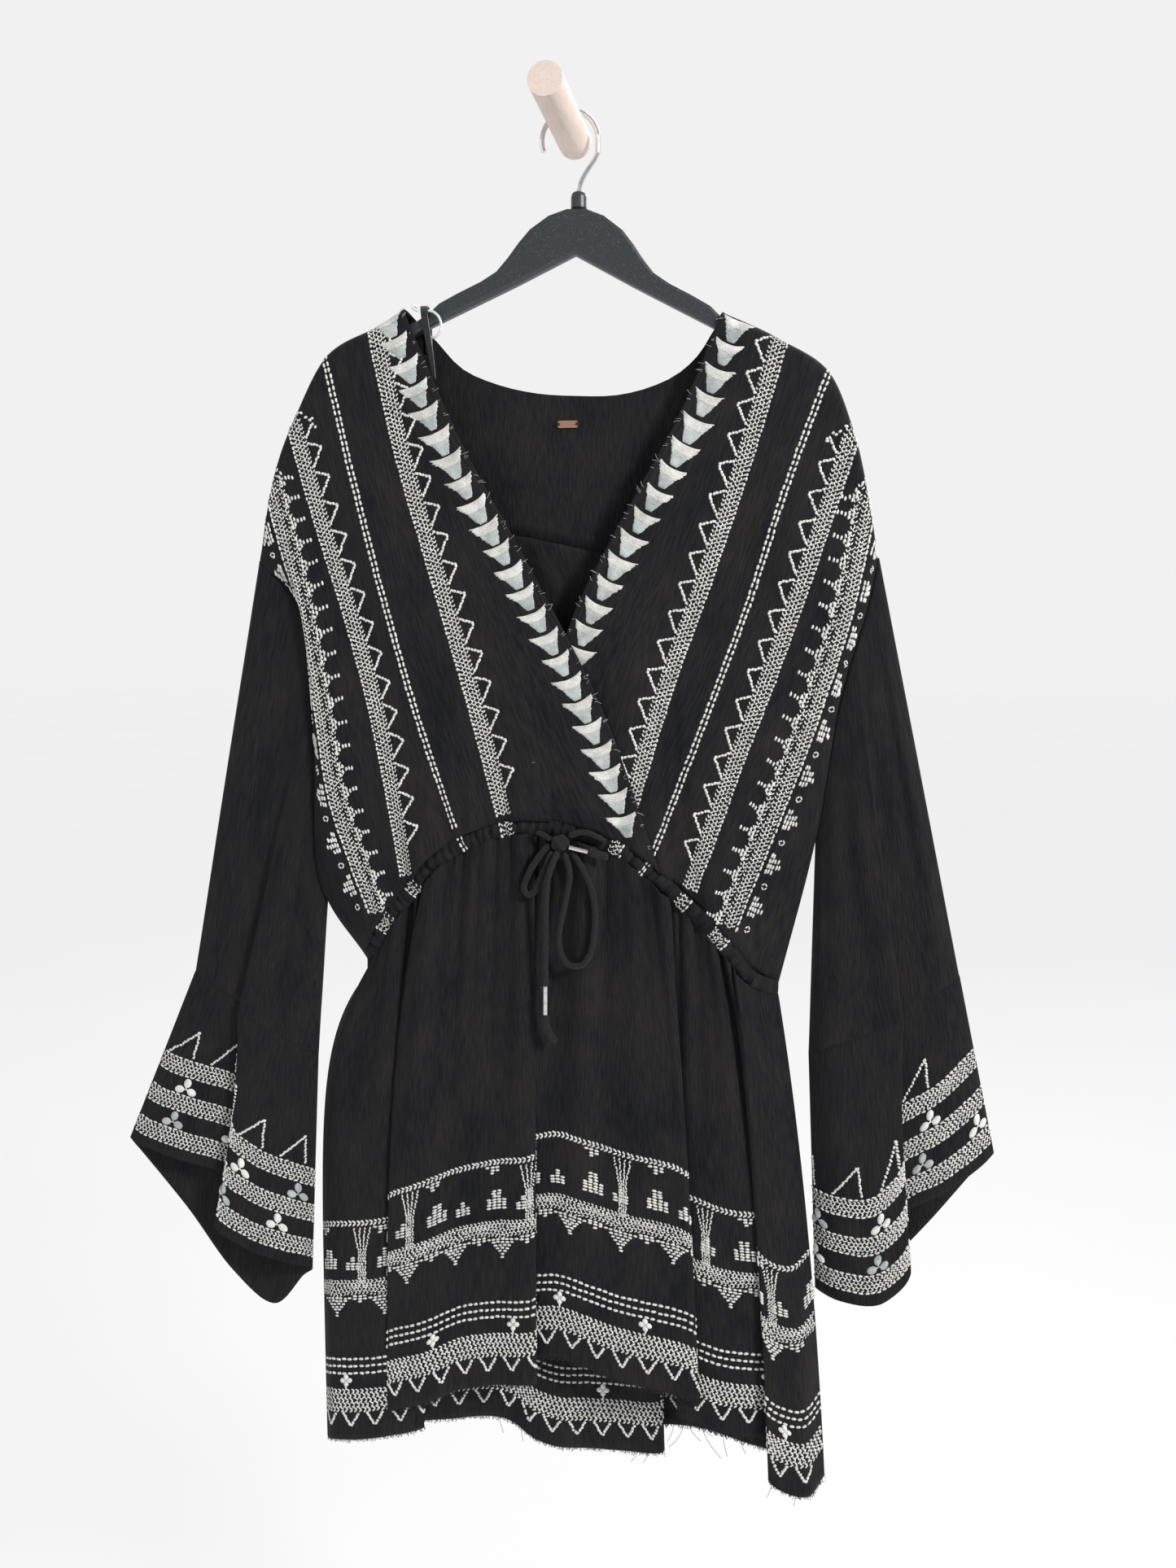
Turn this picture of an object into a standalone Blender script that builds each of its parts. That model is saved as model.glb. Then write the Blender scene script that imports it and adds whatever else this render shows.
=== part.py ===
# A wrap-front tunic on a hanger, hung on a wall peg.
# Tables are in millimetres: x to the viewer's right, z up from the peg's foot on the wall,
# depth measured out from the wall towards the viewer.
import bisect
import math

import bmesh
import bpy
import numpy as np

MM = 0.001
CLOTH = 1.4
SEAM = 0.3
LAP = 1.5
EDGE_DEPTH = 16.0
CASING_HALF = 6.0
CASING_PUFF = 3.2
WAIST_OUT = 16.0
WAIST_IN = 10.0
WAIST_TURN = 0.045
ARMHOLE_OUT = 6.0
ARMHOLE_IN = 8.0
CHEST_FULLER = 6.0
CORD = 5.2
FRONT_SWELL = 10.5
BACK_SWELL = 9.0
SHOULDER_ROUND = 3.0
JOIN = 0.9
CASING_GAP = 1.2
SIDE_ROUND = 9.0
PEG_RADIUS = 13.0
PEG_LENGTH = 85.0
PEG_RISE = 14.0
PEG_LEAN = 10.0
HOOK_DEPTH = 14.0
HOOK_WIRE = 4.0
HANGER_THICK = 11.5
HANGER_TILT = math.radians(-2.25)
HANGER_CENTRE = (4.0, -56.0)

BLACK_COTTON = ("black_cotton", (0.016, 0.015, 0.016), 0.85, 0.0)
BLACK_SATIN = ("black_satin", (0.02, 0.02, 0.022), 0.35, 0.0)
BLACK_PLASTIC = ("black_plastic", (0.028, 0.033, 0.038), 0.32, 0.0)
PALE_WOOD = ("pale_wood", (0.74, 0.62, 0.54), 0.55, 0.0)
CHROME = ("chrome", (0.8, 0.8, 0.8), 0.12, 1.0)
COPPER = ("copper", (0.62, 0.30, 0.20), 0.35, 1.0)
SILVER = ("silver", (0.75, 0.73, 0.68), 0.3, 1.0)


def table(columns, *rows):
    names = columns.split()
    return tuple(dict(zip(names, row)) for row in rows)


def slope(knots, values, i):
    """How steep a smooth curve through the values is at its knot i."""
    if i in (0, len(knots) - 1):
        i = max(i, 1)
        return (values[i] - values[i - 1]) / (knots[i] - knots[i - 1])
    before, after = knots[i] - knots[i - 1], knots[i + 1] - knots[i]
    down, up = (values[i] - values[i - 1]) / before, (values[i + 1] - values[i]) / after
    return (down * after + up * before) / (before + after)


def smooth(knots, values, t):
    """A smooth curve through the values at the knots, read at t."""
    i = min(max(bisect.bisect_right(knots, t) - 1, 0), len(knots) - 2)
    width = knots[i + 1] - knots[i]
    s = (t - knots[i]) / width
    near = (1 + 2 * s) * (1 - s) ** 2 * values[i]
    near += s * (1 - s) ** 2 * width * slope(knots, values, i)
    far = s * s * (3 - 2 * s) * values[i + 1]
    far += s * s * (s - 1) * width * slope(knots, values, i + 1)
    return near + far


class Line:
    """A table's rows joined by a smooth curve, read at t from 0 to 1 along the named columns."""

    def __init__(self, rows, along="x z"):
        numbered = [name for name in rows[0] if not isinstance(rows[0][name], str)]
        self.columns = {name: [row[name] for row in rows] for name in numbered}
        points = np.array([self.columns[name] for name in along.split()], float).T
        steps = np.linalg.norm(np.diff(points, axis=0), axis=1)
        self.knots = [0.0] + [float(k) for k in np.cumsum(steps) / steps.sum()]

    def at(self, name, t):
        return smooth(self.knots, self.columns[name], t)

    def point(self, t):
        return self.at("x", t), self.at("z", t)


def mix(a, b, t):
    return a * (1 - t) + b * t


# The casing's middle line in front, from the left side seam up over the bow to the right one.
WAIST_FRONT = table(
    "x z",
    (-174, -660),
    (-155, -620),
    (-132, -592),
    (-112, -567),
    (-81, -547),
    (-46, -537),
    (0, -540),
    (39, -553),
    (69, -575),
    (86, -590),
    (110, -613),
    (129, -635),
    (147, -657),
    (168, -667),
)
WAIST_BACK = table(
    "x z", (-174, -660), (-120, -654), (-40, -652), (50, -654), (120, -659), (168, -667)
)


FRONT_LINE, BACK_LINE = Line(WAIST_FRONT), Line(WAIST_BACK)


def waist(line, w, up=0.0):
    """A point of the casing's line, moved up square to it. w runs from 0 to 1, left to right."""
    step, near_seam = 0.004, 0.03
    low, high = max(w - step, 0.0), min(w + step, 1.0)
    dx = line.at("x", high) - line.at("x", low)
    dz = line.at("z", high) - line.at("z", low)
    upright = math.exp(-min(w, 1 - w) / near_seam)
    side, rise = mix(-dz, 0.0, upright), mix(dx, math.hypot(dx, dz), upright)
    length = math.hypot(side, rise)
    return line.at("x", w) + up * side / length, line.at("z", w) + up * rise / length


def waist_at(line, x):
    """The w of the casing's line where it passes this x."""
    return min((abs(line.at("x", w) - x), w) for w in np.linspace(0, 1, 401))[1]


def waist_depth(w):
    """How far out the casing's middle lies in front: at the seams it meets the back."""
    return EDGE_DEPTH + WAIST_OUT * (1 - math.exp(-min(w, 1 - w) / WAIST_TURN))


def back_waist_depth(w):
    return EDGE_DEPTH - WAIST_IN * (1 - math.exp(-min(w, 1 - w) / WAIST_TURN))


# Each row is a line of the cloth from the shoulder down to the casing, a quarter of it apart.
FRONT_LEFT = table(
    "line u x0 z0 x1 z1 x2 z2 x3 z3 x_waist",
    ("neck edge", 0.00, -134, -126, -85, -235, -32, -330, 26, -442, 69),
    ("zigzag", 0.25, -155, -139, -133, -241, -106, -334, -79, -428, -51),
    ("double line", 0.45, -198, -161, -175, -259, -151, -353, -124, -451, -89),
    ("outer zigzag", 0.63, -225, -208, -199, -297, -175, -376, -153, -465, -129),
    ("border", 0.81, -243, -252, -221, -343, -204, -435, -189, -523, -153),
    ("armhole", 1.00, -259, -321, -222, -366, -215, -480, -214, -588, -174),
)
FRONT_RIGHT = table(
    "line u x0 z0 x1 z1 x2 z2 x3 z3 x_waist",
    ("neck edge", 0.00, 116.5, -136.5, 82, -219, 27, -317, -8, -395, -42),
    ("zigzag", 0.25, 160, -157.5, 135, -245, 105, -338, 74, -427, 37),
    ("double line", 0.45, 198, -183, 167, -270, 140, -357, 108, -446, 61),
    ("outer zigzag", 0.63, 217, -226, 189, -314, 160, -401, 132, -478, 90),
    ("border", 0.81, 228, -268, 212, -357, 186, -446, 155, -530, 118),
    ("armhole", 1.00, 238, -323, 230, -364, 211, -436, 195, -545, 168),
)
UNDERARM_LEFT = 0.80
UNDERARM_RIGHT = 0.75
QUARTERS = (0.0, 0.25, 0.5, 0.75, 1.0)


class PanelLines:
    """A front panel's lines, each led down to the casing's upper edge."""

    def __init__(self, rows):
        self.us = [row["u"] for row in rows]
        self.feet = [waist_at(FRONT_LINE, row["x_waist"]) for row in rows]
        self.xs, self.zs = [], []
        for row, w in zip(rows, self.feet):
            x, z = waist(FRONT_LINE, w, CASING_HALF + CASING_GAP)
            self.xs.append([row["x0"], row["x1"], row["x2"], row["x3"], x])
            self.zs.append([row["z0"], row["z1"], row["z2"], row["z3"], z])

    def line(self, i, v):
        return smooth(QUARTERS, self.xs[i], v), smooth(QUARTERS, self.zs[i], v)

    def edge(self, v):
        """The shoulder's fall, the armhole and the side seam."""
        return self.line(-1, v)

    def between(self, u, v):
        along = [self.line(i, v) for i in range(len(self.us))]
        return [smooth(self.us, [p[axis] for p in along], u) for axis in (0, 1)]

    def point(self, u, v):
        """Between the lines, and at the foot exactly along the casing."""
        foot = waist(FRONT_LINE, smooth(self.us, self.feet, u), CASING_HALF + CASING_GAP)
        here, there = self.between(u, v), self.between(u, 1.0)
        return tuple(here[axis] + (foot[axis] - there[axis]) * v**6 for axis in (0, 1))


LEFT_LINES, RIGHT_LINES = PanelLines(FRONT_LEFT), PanelLines(FRONT_RIGHT)


def armhole_swell(v, underarm):
    """0 at the shoulder point and from the underarm down, 1 in the middle of the armhole."""
    return math.sin(math.pi * v / underarm) ** 0.5 if 0 < v < underarm else 0.0


def front_depth(u, v, height, width, underarm):
    """Out from the shoulder seam and from the armhole or side edge, to the flat of the chest."""
    from_top = 1 - math.exp(-v * height / SHOULDER_ROUND)
    from_side = 1 - math.exp(-(1 - u) * width / SIDE_ROUND)
    edge = EDGE_DEPTH + ARMHOLE_OUT * armhole_swell(v, underarm)
    chest = EDGE_DEPTH + (FRONT_SWELL + CHEST_FULLER * v) * from_top
    return mix(edge, max(chest, edge), from_side)


def front_panel(lines, underarm, lap, side):
    """The shape of a front panel. lap lifts it over the other one, side is -1 on the left."""
    width, height, gathers = 130.0, 430.0, 6

    def shape(u, v):
        x, z = lines.point(u, v)
        depth = front_depth(u, v, height, width, underarm)
        ripple = 0.9 * math.sin(2 * math.pi * gathers * u + side) * v**4
        clear = lap * (1 - math.exp(-v * height / SHOULDER_ROUND))
        return x, depth + (clear + ripple) * min(1.0, (1 - u) * 8) + JOIN, z

    return shape


BACK_NECK = table(
    "x z",
    (-200, -162),
    (-155, -139),
    (-134, -126),
    (-113, -147),
    (-90, -171),
    (-61, -184),
    (-32, -191),
    (2, -194),
    (35, -194),
    (59, -189),
    (82, -179),
    (98, -165),
    (109, -148),
    (116.5, -136.5),
    (160, -157.5),
    (198, -183),
)
YOKE_SEAM = table(
    "x z", (-254, -306), (-150, -300), (-49, -303), (23, -317), (140, -322), (236, -318)
)
FALL_LEFT = table("x z", (-200, -162), (-225, -208), (-243, -252), (-254, -306))
FALL_RIGHT = table("x z", (198, -183), (217, -226), (228, -268), (236, -318))


YOKE_LINE, FALL_LINE_LEFT, FALL_LINE_RIGHT = Line(YOKE_SEAM), Line(FALL_LEFT), Line(FALL_RIGHT)
NECK_LINES = (Line(BACK_NECK[:3]), Line(BACK_NECK[2:-2]), Line(BACK_NECK[-3:]))
NECK_ENDS = (0.0, 0.22, 0.78, 1.0)


def pair(line, t):
    return np.array(line.point(t))


def on_neck(t):
    """The yoke's top edge, with its two corners at the neck kept sharp."""
    part = 0 if t < NECK_ENDS[1] else (1 if t < NECK_ENDS[2] else 2)
    low, high = NECK_ENDS[part], NECK_ENDS[part + 1]
    return pair(NECK_LINES[part], (t - low) / (high - low))


def between_edges(top, foot, left, right, u, v):
    """A surface through four edges that share their corners."""
    across = (1 - v) * top(u) + v * foot(u)
    down = (1 - u) * left(v) + u * right(v)
    corners = mix(mix(top(0), top(1), u), mix(foot(0), foot(1), u), v)
    return across + down - corners


def side_fade(u, width):
    return 1 - math.exp(-min(u, 1 - u) * width / SIDE_ROUND)


def yoke(u, v):
    x, z = between_edges(
        on_neck,
        lambda t: pair(YOKE_LINE, t) + (0, SEAM),
        lambda t: pair(FALL_LINE_LEFT, t),
        lambda t: pair(FALL_LINE_RIGHT, t),
        u,
        v,
    )
    height, width, corner_run = 150, 480, 1000
    from_top = 1 - math.exp(-v * height / SHOULDER_ROUND)
    from_corner = min(u - NECK_ENDS[1], NECK_ENDS[2] - u)
    if from_corner > 0:
        from_top = max(from_top, 1 - math.exp(-from_corner * corner_run / SHOULDER_ROUND))
    depth = EDGE_DEPTH - BACK_SWELL * from_top * side_fade(u, width)
    return x, depth - JOIN, z


def back_edge(lines, seam_end, line, w, t):
    """The back's side edge, from the yoke's seam down the armhole and the side seam."""
    top = np.array(seam_end) - (0, SEAM) - np.array(lines.edge(0.0))
    foot = np.array(waist(line, w, CASING_HALF + CASING_GAP)) - np.array(lines.edge(1.0))
    return np.array(lines.edge(t)) + top * (1 - t) ** 8 + foot * t**12


def back_bodice(u, v):
    gathers = 16
    x, z = between_edges(
        lambda t: pair(YOKE_LINE, t) - (0, SEAM),
        lambda t: np.array(waist(BACK_LINE, t, CASING_HALF + CASING_GAP)),
        lambda t: back_edge(LEFT_LINES, YOKE_LINE.point(0.0), BACK_LINE, 0.0, t),
        lambda t: back_edge(RIGHT_LINES, YOKE_LINE.point(1.0), BACK_LINE, 1.0, t),
        u,
        v,
    )
    underarm = UNDERARM_LEFT if u < 0.5 else UNDERARM_RIGHT
    edge = EDGE_DEPTH - ARMHOLE_IN * armhole_swell(v, underarm) - JOIN
    flat = EDGE_DEPTH - BACK_SWELL - 1.5 * v
    ripple = 1.3 * math.sin(2 * math.pi * gathers * u) * (1 - v) ** 2 * min(1, v * 8)
    return x, mix(edge, flat + ripple, side_fade(u, 430)), z


def casing(line, depth_at, puff, slack):
    """A channel of cloth along the waist, rounded out by the cord inside it."""

    def shape(u, v):
        low = 0.0008 + u * (1 - 2 * 0.0008)
        x, z = waist(line, low, mix(CASING_HALF, -CASING_HALF, v))
        return x, depth_at(low) + puff * math.sin(math.pi * v) + slack, z

    return shape


# Each row is a turn of the cloth at the hem, from the left side seam to the right one. w is its
# place on the casing, flare how fast it spreads below, and depth is out from the wall.
SKIRT_FRONT = table(
    "turn w x z flare top hem",
    ("side seam", 0.00, -220, -1088, 8.0, 16.0, 16.0),
    ("side round", 0.04, -212, -1083, 7.0, 25.0, 26.0),
    ("first fold", 0.12, -175, -1076, 4.0, 31.0, 32.0),
    ("under second", 0.17, -130, -1065, 3.0, 30.0, 24.0),
    ("second fold edge", 0.20, -160, -1052, 3.0, 33.0, 32.0),
    ("second fold", 0.27, -122, -1035, 2.5, 33.0, 38.0),
    ("soft valley", 0.33, -97, -1025, 2.0, 30.0, 31.0),
    ("second crest", 0.39, -66, -1016, 1.5, 33.0, 36.0),
    ("second edge", 0.45, -29, -1007, 1.0, 33.0, 38.0),
    ("under second edge", 0.47, -44, -998, 1.0, 31.0, 29.0),
    ("third start", 0.50, -18, -990, 1.0, 32.0, 32.0),
    ("third fold", 0.60, 36, -1001, 1.0, 33.0, 38.0),
    ("third edge", 0.73, 107, -1019, 1.0, 33.0, 38.0),
    ("under third edge", 0.75, 90, -1032, 1.0, 31.0, 28.0),
    ("fourth fold", 0.81, 122, -1045, 1.0, 32.0, 31.0),
    ("under fifth", 0.89, 190, -1060, 1.0, 29.0, 25.0),
    ("fifth fold edge", 0.91, 167, -1082, 1.0, 32.0, 34.0),
    ("fifth fold", 0.96, 200, -1094, 1.0, 26.0, 34.0),
    ("side seam", 1.00, 213, -1084, 1.0, 16.0, 20.0),
)
SKIRT_BACK = table(
    "turn w x z flare top hem",
    ("side seam", 0.00, -220, -1088, 8.0, 16.0, 16.0),
    ("side round", 0.05, -205, -1085, 7.0, 8.0, 8.0),
    ("valley", 0.15, -160, -1078, 4.0, 6.0, 4.0),
    ("crest", 0.25, -112, -1068, 2.5, 7.0, 11.0),
    ("valley", 0.36, -64, -1066, 1.5, 6.0, 4.5),
    ("crest", 0.46, -28, -1083, 1.0, 7.0, 10.0),
    ("valley", 0.55, 15, -1088, 1.0, 6.0, 5.0),
    ("fold edge", 0.66, 77, -1076, 1.0, 7.0, 13.0),
    ("under the edge", 0.70, 60, -1066, 1.0, 6.0, 6.0),
    ("valley", 0.77, 100, -1060, 1.0, 6.0, 4.5),
    ("crest", 0.86, 145, -1068, 1.0, 7.0, 10.0),
    ("side round", 0.95, 198, -1084, 1.0, 7.0, 7.0),
    ("side seam", 1.00, 213, -1084, 1.0, 16.0, 19.5),
)


def spread(flare, v):
    """1 at the casing, 0 at the hem."""
    return (math.exp(-flare * v) - math.exp(-flare)) / (1 - math.exp(-flare))


def skirt(rows, line, gathers, depth_of_gathers, slack):
    turns = Line(rows, "x z hem")

    def shape(u, v):
        w = min(max(turns.at("w", u), 0.0), 1.0)
        x_top, z_top = waist(line, w, -CASING_HALF - CASING_GAP)
        x = mix(turns.at("x", u), x_top, spread(max(turns.at("flare", u), 0.9), v))
        z = mix(z_top, turns.at("z", u), v)
        depth = mix(turns.at("top", u), turns.at("hem", u), v)
        away = min(1.0, min(u, 1 - u) * 14)
        ripple = depth_of_gathers * math.sin(2 * math.pi * gathers * u) * (1 - v) ** 1.5
        return x, depth + ripple * away + slack, z

    return shape


# Rings of the sleeves, once round: outer fold, front, inner fold, back.
SEAM_LEFT = table(
    "place a x z depth",
    ("outer fold", 0.00, -328, -671, 16),
    ("front", 0.09, -314, -680, 22),
    ("under the fold", 0.18, -292, -692, 21),
    ("turn", 0.22, -279, -697, 22),
    ("fold edge", 0.26, -286, -701, 28),
    ("front", 0.35, -258, -716, 28),
    ("front", 0.44, -232, -732, 25),
    ("inner fold", 0.50, -221, -738, 17),
    ("back", 0.58, -234, -737, 8),
    ("back", 0.75, -275, -722, 6),
    ("back", 0.92, -318, -688, 8),
)
HEM_LEFT = table(
    "place a x z depth",
    ("outer fold", 0.00, -394, -824, 15),
    ("front", 0.07, -380, -827, 22),
    ("front", 0.15, -345, -837, 24),
    ("under the fold", 0.22, -301, -850, 21),
    ("turn", 0.25, -290, -858, 22),
    ("turn", 0.28, -300, -873, 28),
    ("fold edge", 0.31, -311, -889, 33),
    ("front", 0.36, -290, -906, 34),
    ("front", 0.44, -250, -921, 31),
    ("inner fold", 0.50, -232, -932, 17),
    ("back", 0.57, -243, -945, 8),
    ("back point", 0.66, -269, -973, 6),
    ("back", 0.77, -308, -943, 7),
    ("back", 0.88, -350, -886, 6),
    ("back", 0.96, -387, -838, 9),
)
SEAM_RIGHT = table(
    "place a x z depth",
    ("outer fold", 0.00, 310, -653, 16),
    ("front", 0.09, 298, -662, 22),
    ("under the fold", 0.18, 274, -673, 21),
    ("turn", 0.22, 258, -680, 22),
    ("fold edge", 0.26, 266, -685, 28),
    ("front", 0.35, 240, -698, 28),
    ("front", 0.44, 206, -714, 25),
    ("inner fold", 0.50, 194, -720, 16),
    ("back", 0.58, 208, -722, 8),
    ("back", 0.75, 250, -702, 6),
    ("back", 0.92, 298, -668, 8),
)
HEM_RIGHT = table(
    "place a x z depth",
    ("outer fold", 0.00, 342, -798, 14),
    ("front", 0.07, 330, -808, 22),
    ("front", 0.14, 303, -830, 24),
    ("under the fold", 0.21, 272, -850, 21),
    ("turn", 0.24, 260, -862, 22),
    ("turn", 0.27, 267, -878, 28),
    ("fold edge", 0.30, 277, -892, 33),
    ("front", 0.36, 258, -921, 33),
    ("front", 0.44, 222, -926, 26),
    ("inner fold", 0.50, 204, -924, 11),
    ("back", 0.58, 216, -926, 5),
    ("back", 0.70, 246, -918, 5),
    ("back", 0.82, 290, -868, 6),
    ("back", 0.94, 332, -812, 8),
)


class Ring:
    """A closed ring of a sleeve, read at a from 0 to 1."""

    def __init__(self, rows):
        wrapped = rows[-3:] + rows + rows[:3]
        turns = [-1] * 3 + [0] * len(rows) + [1] * 3
        self.knots = [row["a"] + turn for row, turn in zip(wrapped, turns)]
        self.columns = {name: [row[name] for row in wrapped] for name in ("x", "z", "depth")}

    def at(self, name, a):
        return smooth(self.knots, self.columns[name], a % 1.0)


def armhole(lines, underarm, side, a):
    """The sleeve's first ring: down the front of the armhole and up its back."""
    down = 2 * a if a <= 0.5 else 2 * (1 - a)
    v = down * underarm
    x, z = lines.edge(v)
    step = 0.01
    ahead, behind = lines.edge(v + step), lines.edge(max(v - step, 0))
    dx, dz = ahead[0] - behind[0], ahead[1] - behind[1]
    away = 1.0 / math.hypot(dx, dz)
    front = ARMHOLE_OUT if a <= 0.5 else -ARMHOLE_IN
    depth = EDGE_DEPTH + front * math.sin(math.pi * down) ** 0.5 if 0 < down < 1 else EDGE_DEPTH
    return x - side * dz * away, z + side * dx * away, depth


def sleeve(lines, underarm, side, ring):
    """From the armhole down to the cuff's seam."""

    def shape(u, v):
        x0, z0, depth0 = armhole(lines, underarm, side, u)
        x1, z1 = ring.at("x", u), ring.at("z", u) + SEAM * 2.2
        depth = mix(depth0, ring.at("depth", u), v**0.8)
        hang = 3.0 * math.sin(math.pi * v) * math.sin(2 * math.pi * 5 * u) * math.sin(math.pi * v)
        rounded = 2.5 * math.sin(math.pi * v) * math.sin(2 * math.pi * u)
        return mix(x0, x1, v), depth + hang * 0.5 + rounded, mix(z0, z1, v)

    return shape


def cuff(ring, hem):
    """From the cuff's seam down to its hem, opening like a bell."""

    def shape(u, v):
        x, depth, z = (mix(ring.at(name, u), hem.at(name, u), v) for name in ("x", "depth", "z"))
        return x, depth, z - SEAM * 2.2 * (1 - v)

    return shape


HANGER_TOP = table(
    "out z",
    (0, -55.5),
    (8, -55.8),
    (22, -60.7),
    (36.5, -71),
    (45, -81),
    (53, -92),
    (62, -102.6),
    (74, -110.2),
    (92.5, -119.2),
    (107, -127),
    (115, -134.5),
    (125, -141),
    (160, -157.5),
    (184, -171),
    (191, -177),
    (193.5, -183),
    (191.5, -189),
)
HANGER_FOOT = table("out z", (185, -191), (150, -166), (113, -145), (46, -113), (0, -89.8))

# The bow's routes. Loops and ends lie in front of the skirt, a little out from it.
LOOP_LEFT = table(
    "x z depth",
    (-15.1, -549, 41),
    (-20, -554, 42),
    (-28, -565, 43),
    (-34, -577, 43),
    (-36, -585, 43),
    (-33, -590, 43.5),
    (-28, -588, 44),
    (-23, -578, 44.5),
    (-18, -567, 44.5),
    (-13.2, -554.8, 44.5),
)
LOOP_RIGHT = table(
    "x z depth",
    (-2.8, -555.4, 44.5),
    (1, -570, 44.5),
    (-1.5, -590, 44),
    (-5.5, -608, 43.5),
    (-8, -624, 43),
    (-6, -638, 43),
    (1, -647, 43),
    (10, -647, 43),
    (17, -638, 43),
    (20.5, -622, 43),
    (21.5, -604, 43),
    (19, -586, 43),
    (12.5, -570, 42.5),
    (2.4, -553.6, 41.5),
)
END_LEFT = table(
    "x z depth",
    (-7.9, -553.8, 47.8),
    (-11, -561, 49.6),
    (-15, -573, 50.4),
    (-17, -590, 49.6),
    (-18, -615, 47.5),
    (-18.5, -640, 46),
    (-18.8, -664, 45),
)
TIP_LEFT = ((-18.8, -664.35, 45.0), (-19.0, -688.0, 44.4))
KNOT_LEFT = ((-19.0, -688.35, 44.4), (-18.4, -698, 44.2), (-11, -711, 43.5))
TIP_RIGHT = ((1.1, -550.2, 45.2), (16.0, -553.6, 45.2))
KNOT_RIGHT = ((16.35, -553.7, 45.2), (24, -555.6, 44.7), (32, -558, 43.6))
ENTRY_LEFT = table("x z depth", (-26.2, -540.3, 38.1), (-20, -541.5, 41), (-14.4, -545, 42))
ENTRY_RIGHT = table(
    "x z depth", (29, -546, 38.8), (22, -541.5, 41.2), (11, -538.5, 42.4), (0.2, -542.0, 42.8)
)
BOW_KNOT = dict(x=-6.5, z=-547.5, depth=43.2, wide=7.8, tall=7.0, thick=5.0)


def clear_scene():
    for obj in list(bpy.data.objects):
        bpy.data.objects.remove(obj, do_unlink=True)


def make_collection(name):
    collection = bpy.data.collections.new(name)
    bpy.context.scene.collection.children.link(collection)
    return collection


def material(finish):
    name, colour, roughness, metallic = finish
    made = bpy.data.materials.get(name)
    if made is None:
        made = bpy.data.materials.new(name)
        made.use_nodes = True
        shader = made.node_tree.nodes["Principled BSDF"]
        shader.inputs["Base Color"].default_value = (*colour, 1.0)
        shader.inputs["Roughness"].default_value = roughness
        shader.inputs["Metallic"].default_value = metallic
    return made


def add_mesh(collection, name, shape_mesh, finish, smooth_shading=True):
    mesh = bpy.data.meshes.new(name)
    shape_mesh.to_mesh(mesh)
    shape_mesh.free()
    mesh.materials.append(material(finish))
    if smooth_shading:
        mesh.shade_smooth()
    obj = bpy.data.objects.new(name, mesh)
    collection.objects.link(obj)
    return obj


def between(knots, parts):
    """The knots, with each step between two of them cut into equal parts."""
    pairs = list(zip(knots, knots[1:]))
    return [mix(low, high, k / parts) for low, high in pairs for k in range(parts)] + [knots[-1]]


def stations(given):
    return given if not isinstance(given, int) else [k / given for k in range(given + 1)]


def add_cloth(collection, name, shape, columns, rows, finish=BLACK_COTTON, tube=False, wall=CLOTH):
    """A grid laid on shape(u, v), thickened to the cloth's wall."""
    us, vs = stations(columns), stations(rows)
    grid = bmesh.new()
    points = []
    for v in vs:
        for u in us:
            x, depth, z = shape(u, v)
            points.append(grid.verts.new((x * MM, -depth * MM, z * MM)))
    across = len(us)
    for row in range(len(vs) - 1):
        for k in range(across - 1):
            a = row * across + k
            grid.faces.new([points[i] for i in (a, a + across, a + across + 1, a + 1)])
    if tube:
        bmesh.ops.remove_doubles(grid, verts=grid.verts, dist=0.02 * MM)
    obj = add_mesh(collection, name, grid, finish)
    solidify = obj.modifiers.new("cloth", "SOLIDIFY")
    solidify.thickness = wall * MM
    solidify.offset = 0.0
    return obj


def add_tube(collection, name, rows, diameter, finish, points=0, sides=2):
    """A round cord or wire along a smooth curve through the rows."""
    line = Line(rows, "x depth z")
    count = points or len(rows)
    curve = bpy.data.curves.new(name, "CURVE")
    curve.dimensions = "3D"
    spline = curve.splines.new("POLY")
    spline.points.add(count - 1)
    for point, t in zip(spline.points, np.linspace(0, 1, count)):
        x, depth, z = (line.at(name, t) for name in ("x", "depth", "z"))
        point.co = (x * MM, -depth * MM, z * MM, 1.0)
    curve.bevel_depth = diameter / 2 * MM
    curve.bevel_resolution = sides
    curve.use_fill_caps = True
    curve.materials.append(material(finish))
    obj = bpy.data.objects.new(name, curve)
    collection.objects.link(obj)
    return obj


def rows_of(points):
    return table("x z depth", *points)


def add_peg(collection):
    """A turned peg that rises a little from its flat foot on the wall."""
    peg = bmesh.new()
    bmesh.ops.create_cone(
        peg, cap_ends=True, segments=40, radius1=PEG_RADIUS * MM, radius2=PEG_RADIUS * MM, depth=1
    )
    for point in peg.verts:
        x, y, front = point.co.x, point.co.y, point.co.z > 0
        out = PEG_LENGTH * MM if front else 0.0
        tilt = PEG_RISE / PEG_LENGTH if front else 0.0
        rise = PEG_RISE * MM if front else 0.0
        lean = -PEG_LEAN * MM if front else 0.0
        point.co = (x + lean, -out + y * tilt, y + rise)
    bmesh.ops.recalc_face_normals(peg, faces=peg.faces)
    obj = add_mesh(collection, "wall_peg", peg, PALE_WOOD)
    obj.data.set_sharp_from_angle(angle=math.radians(40))


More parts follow.
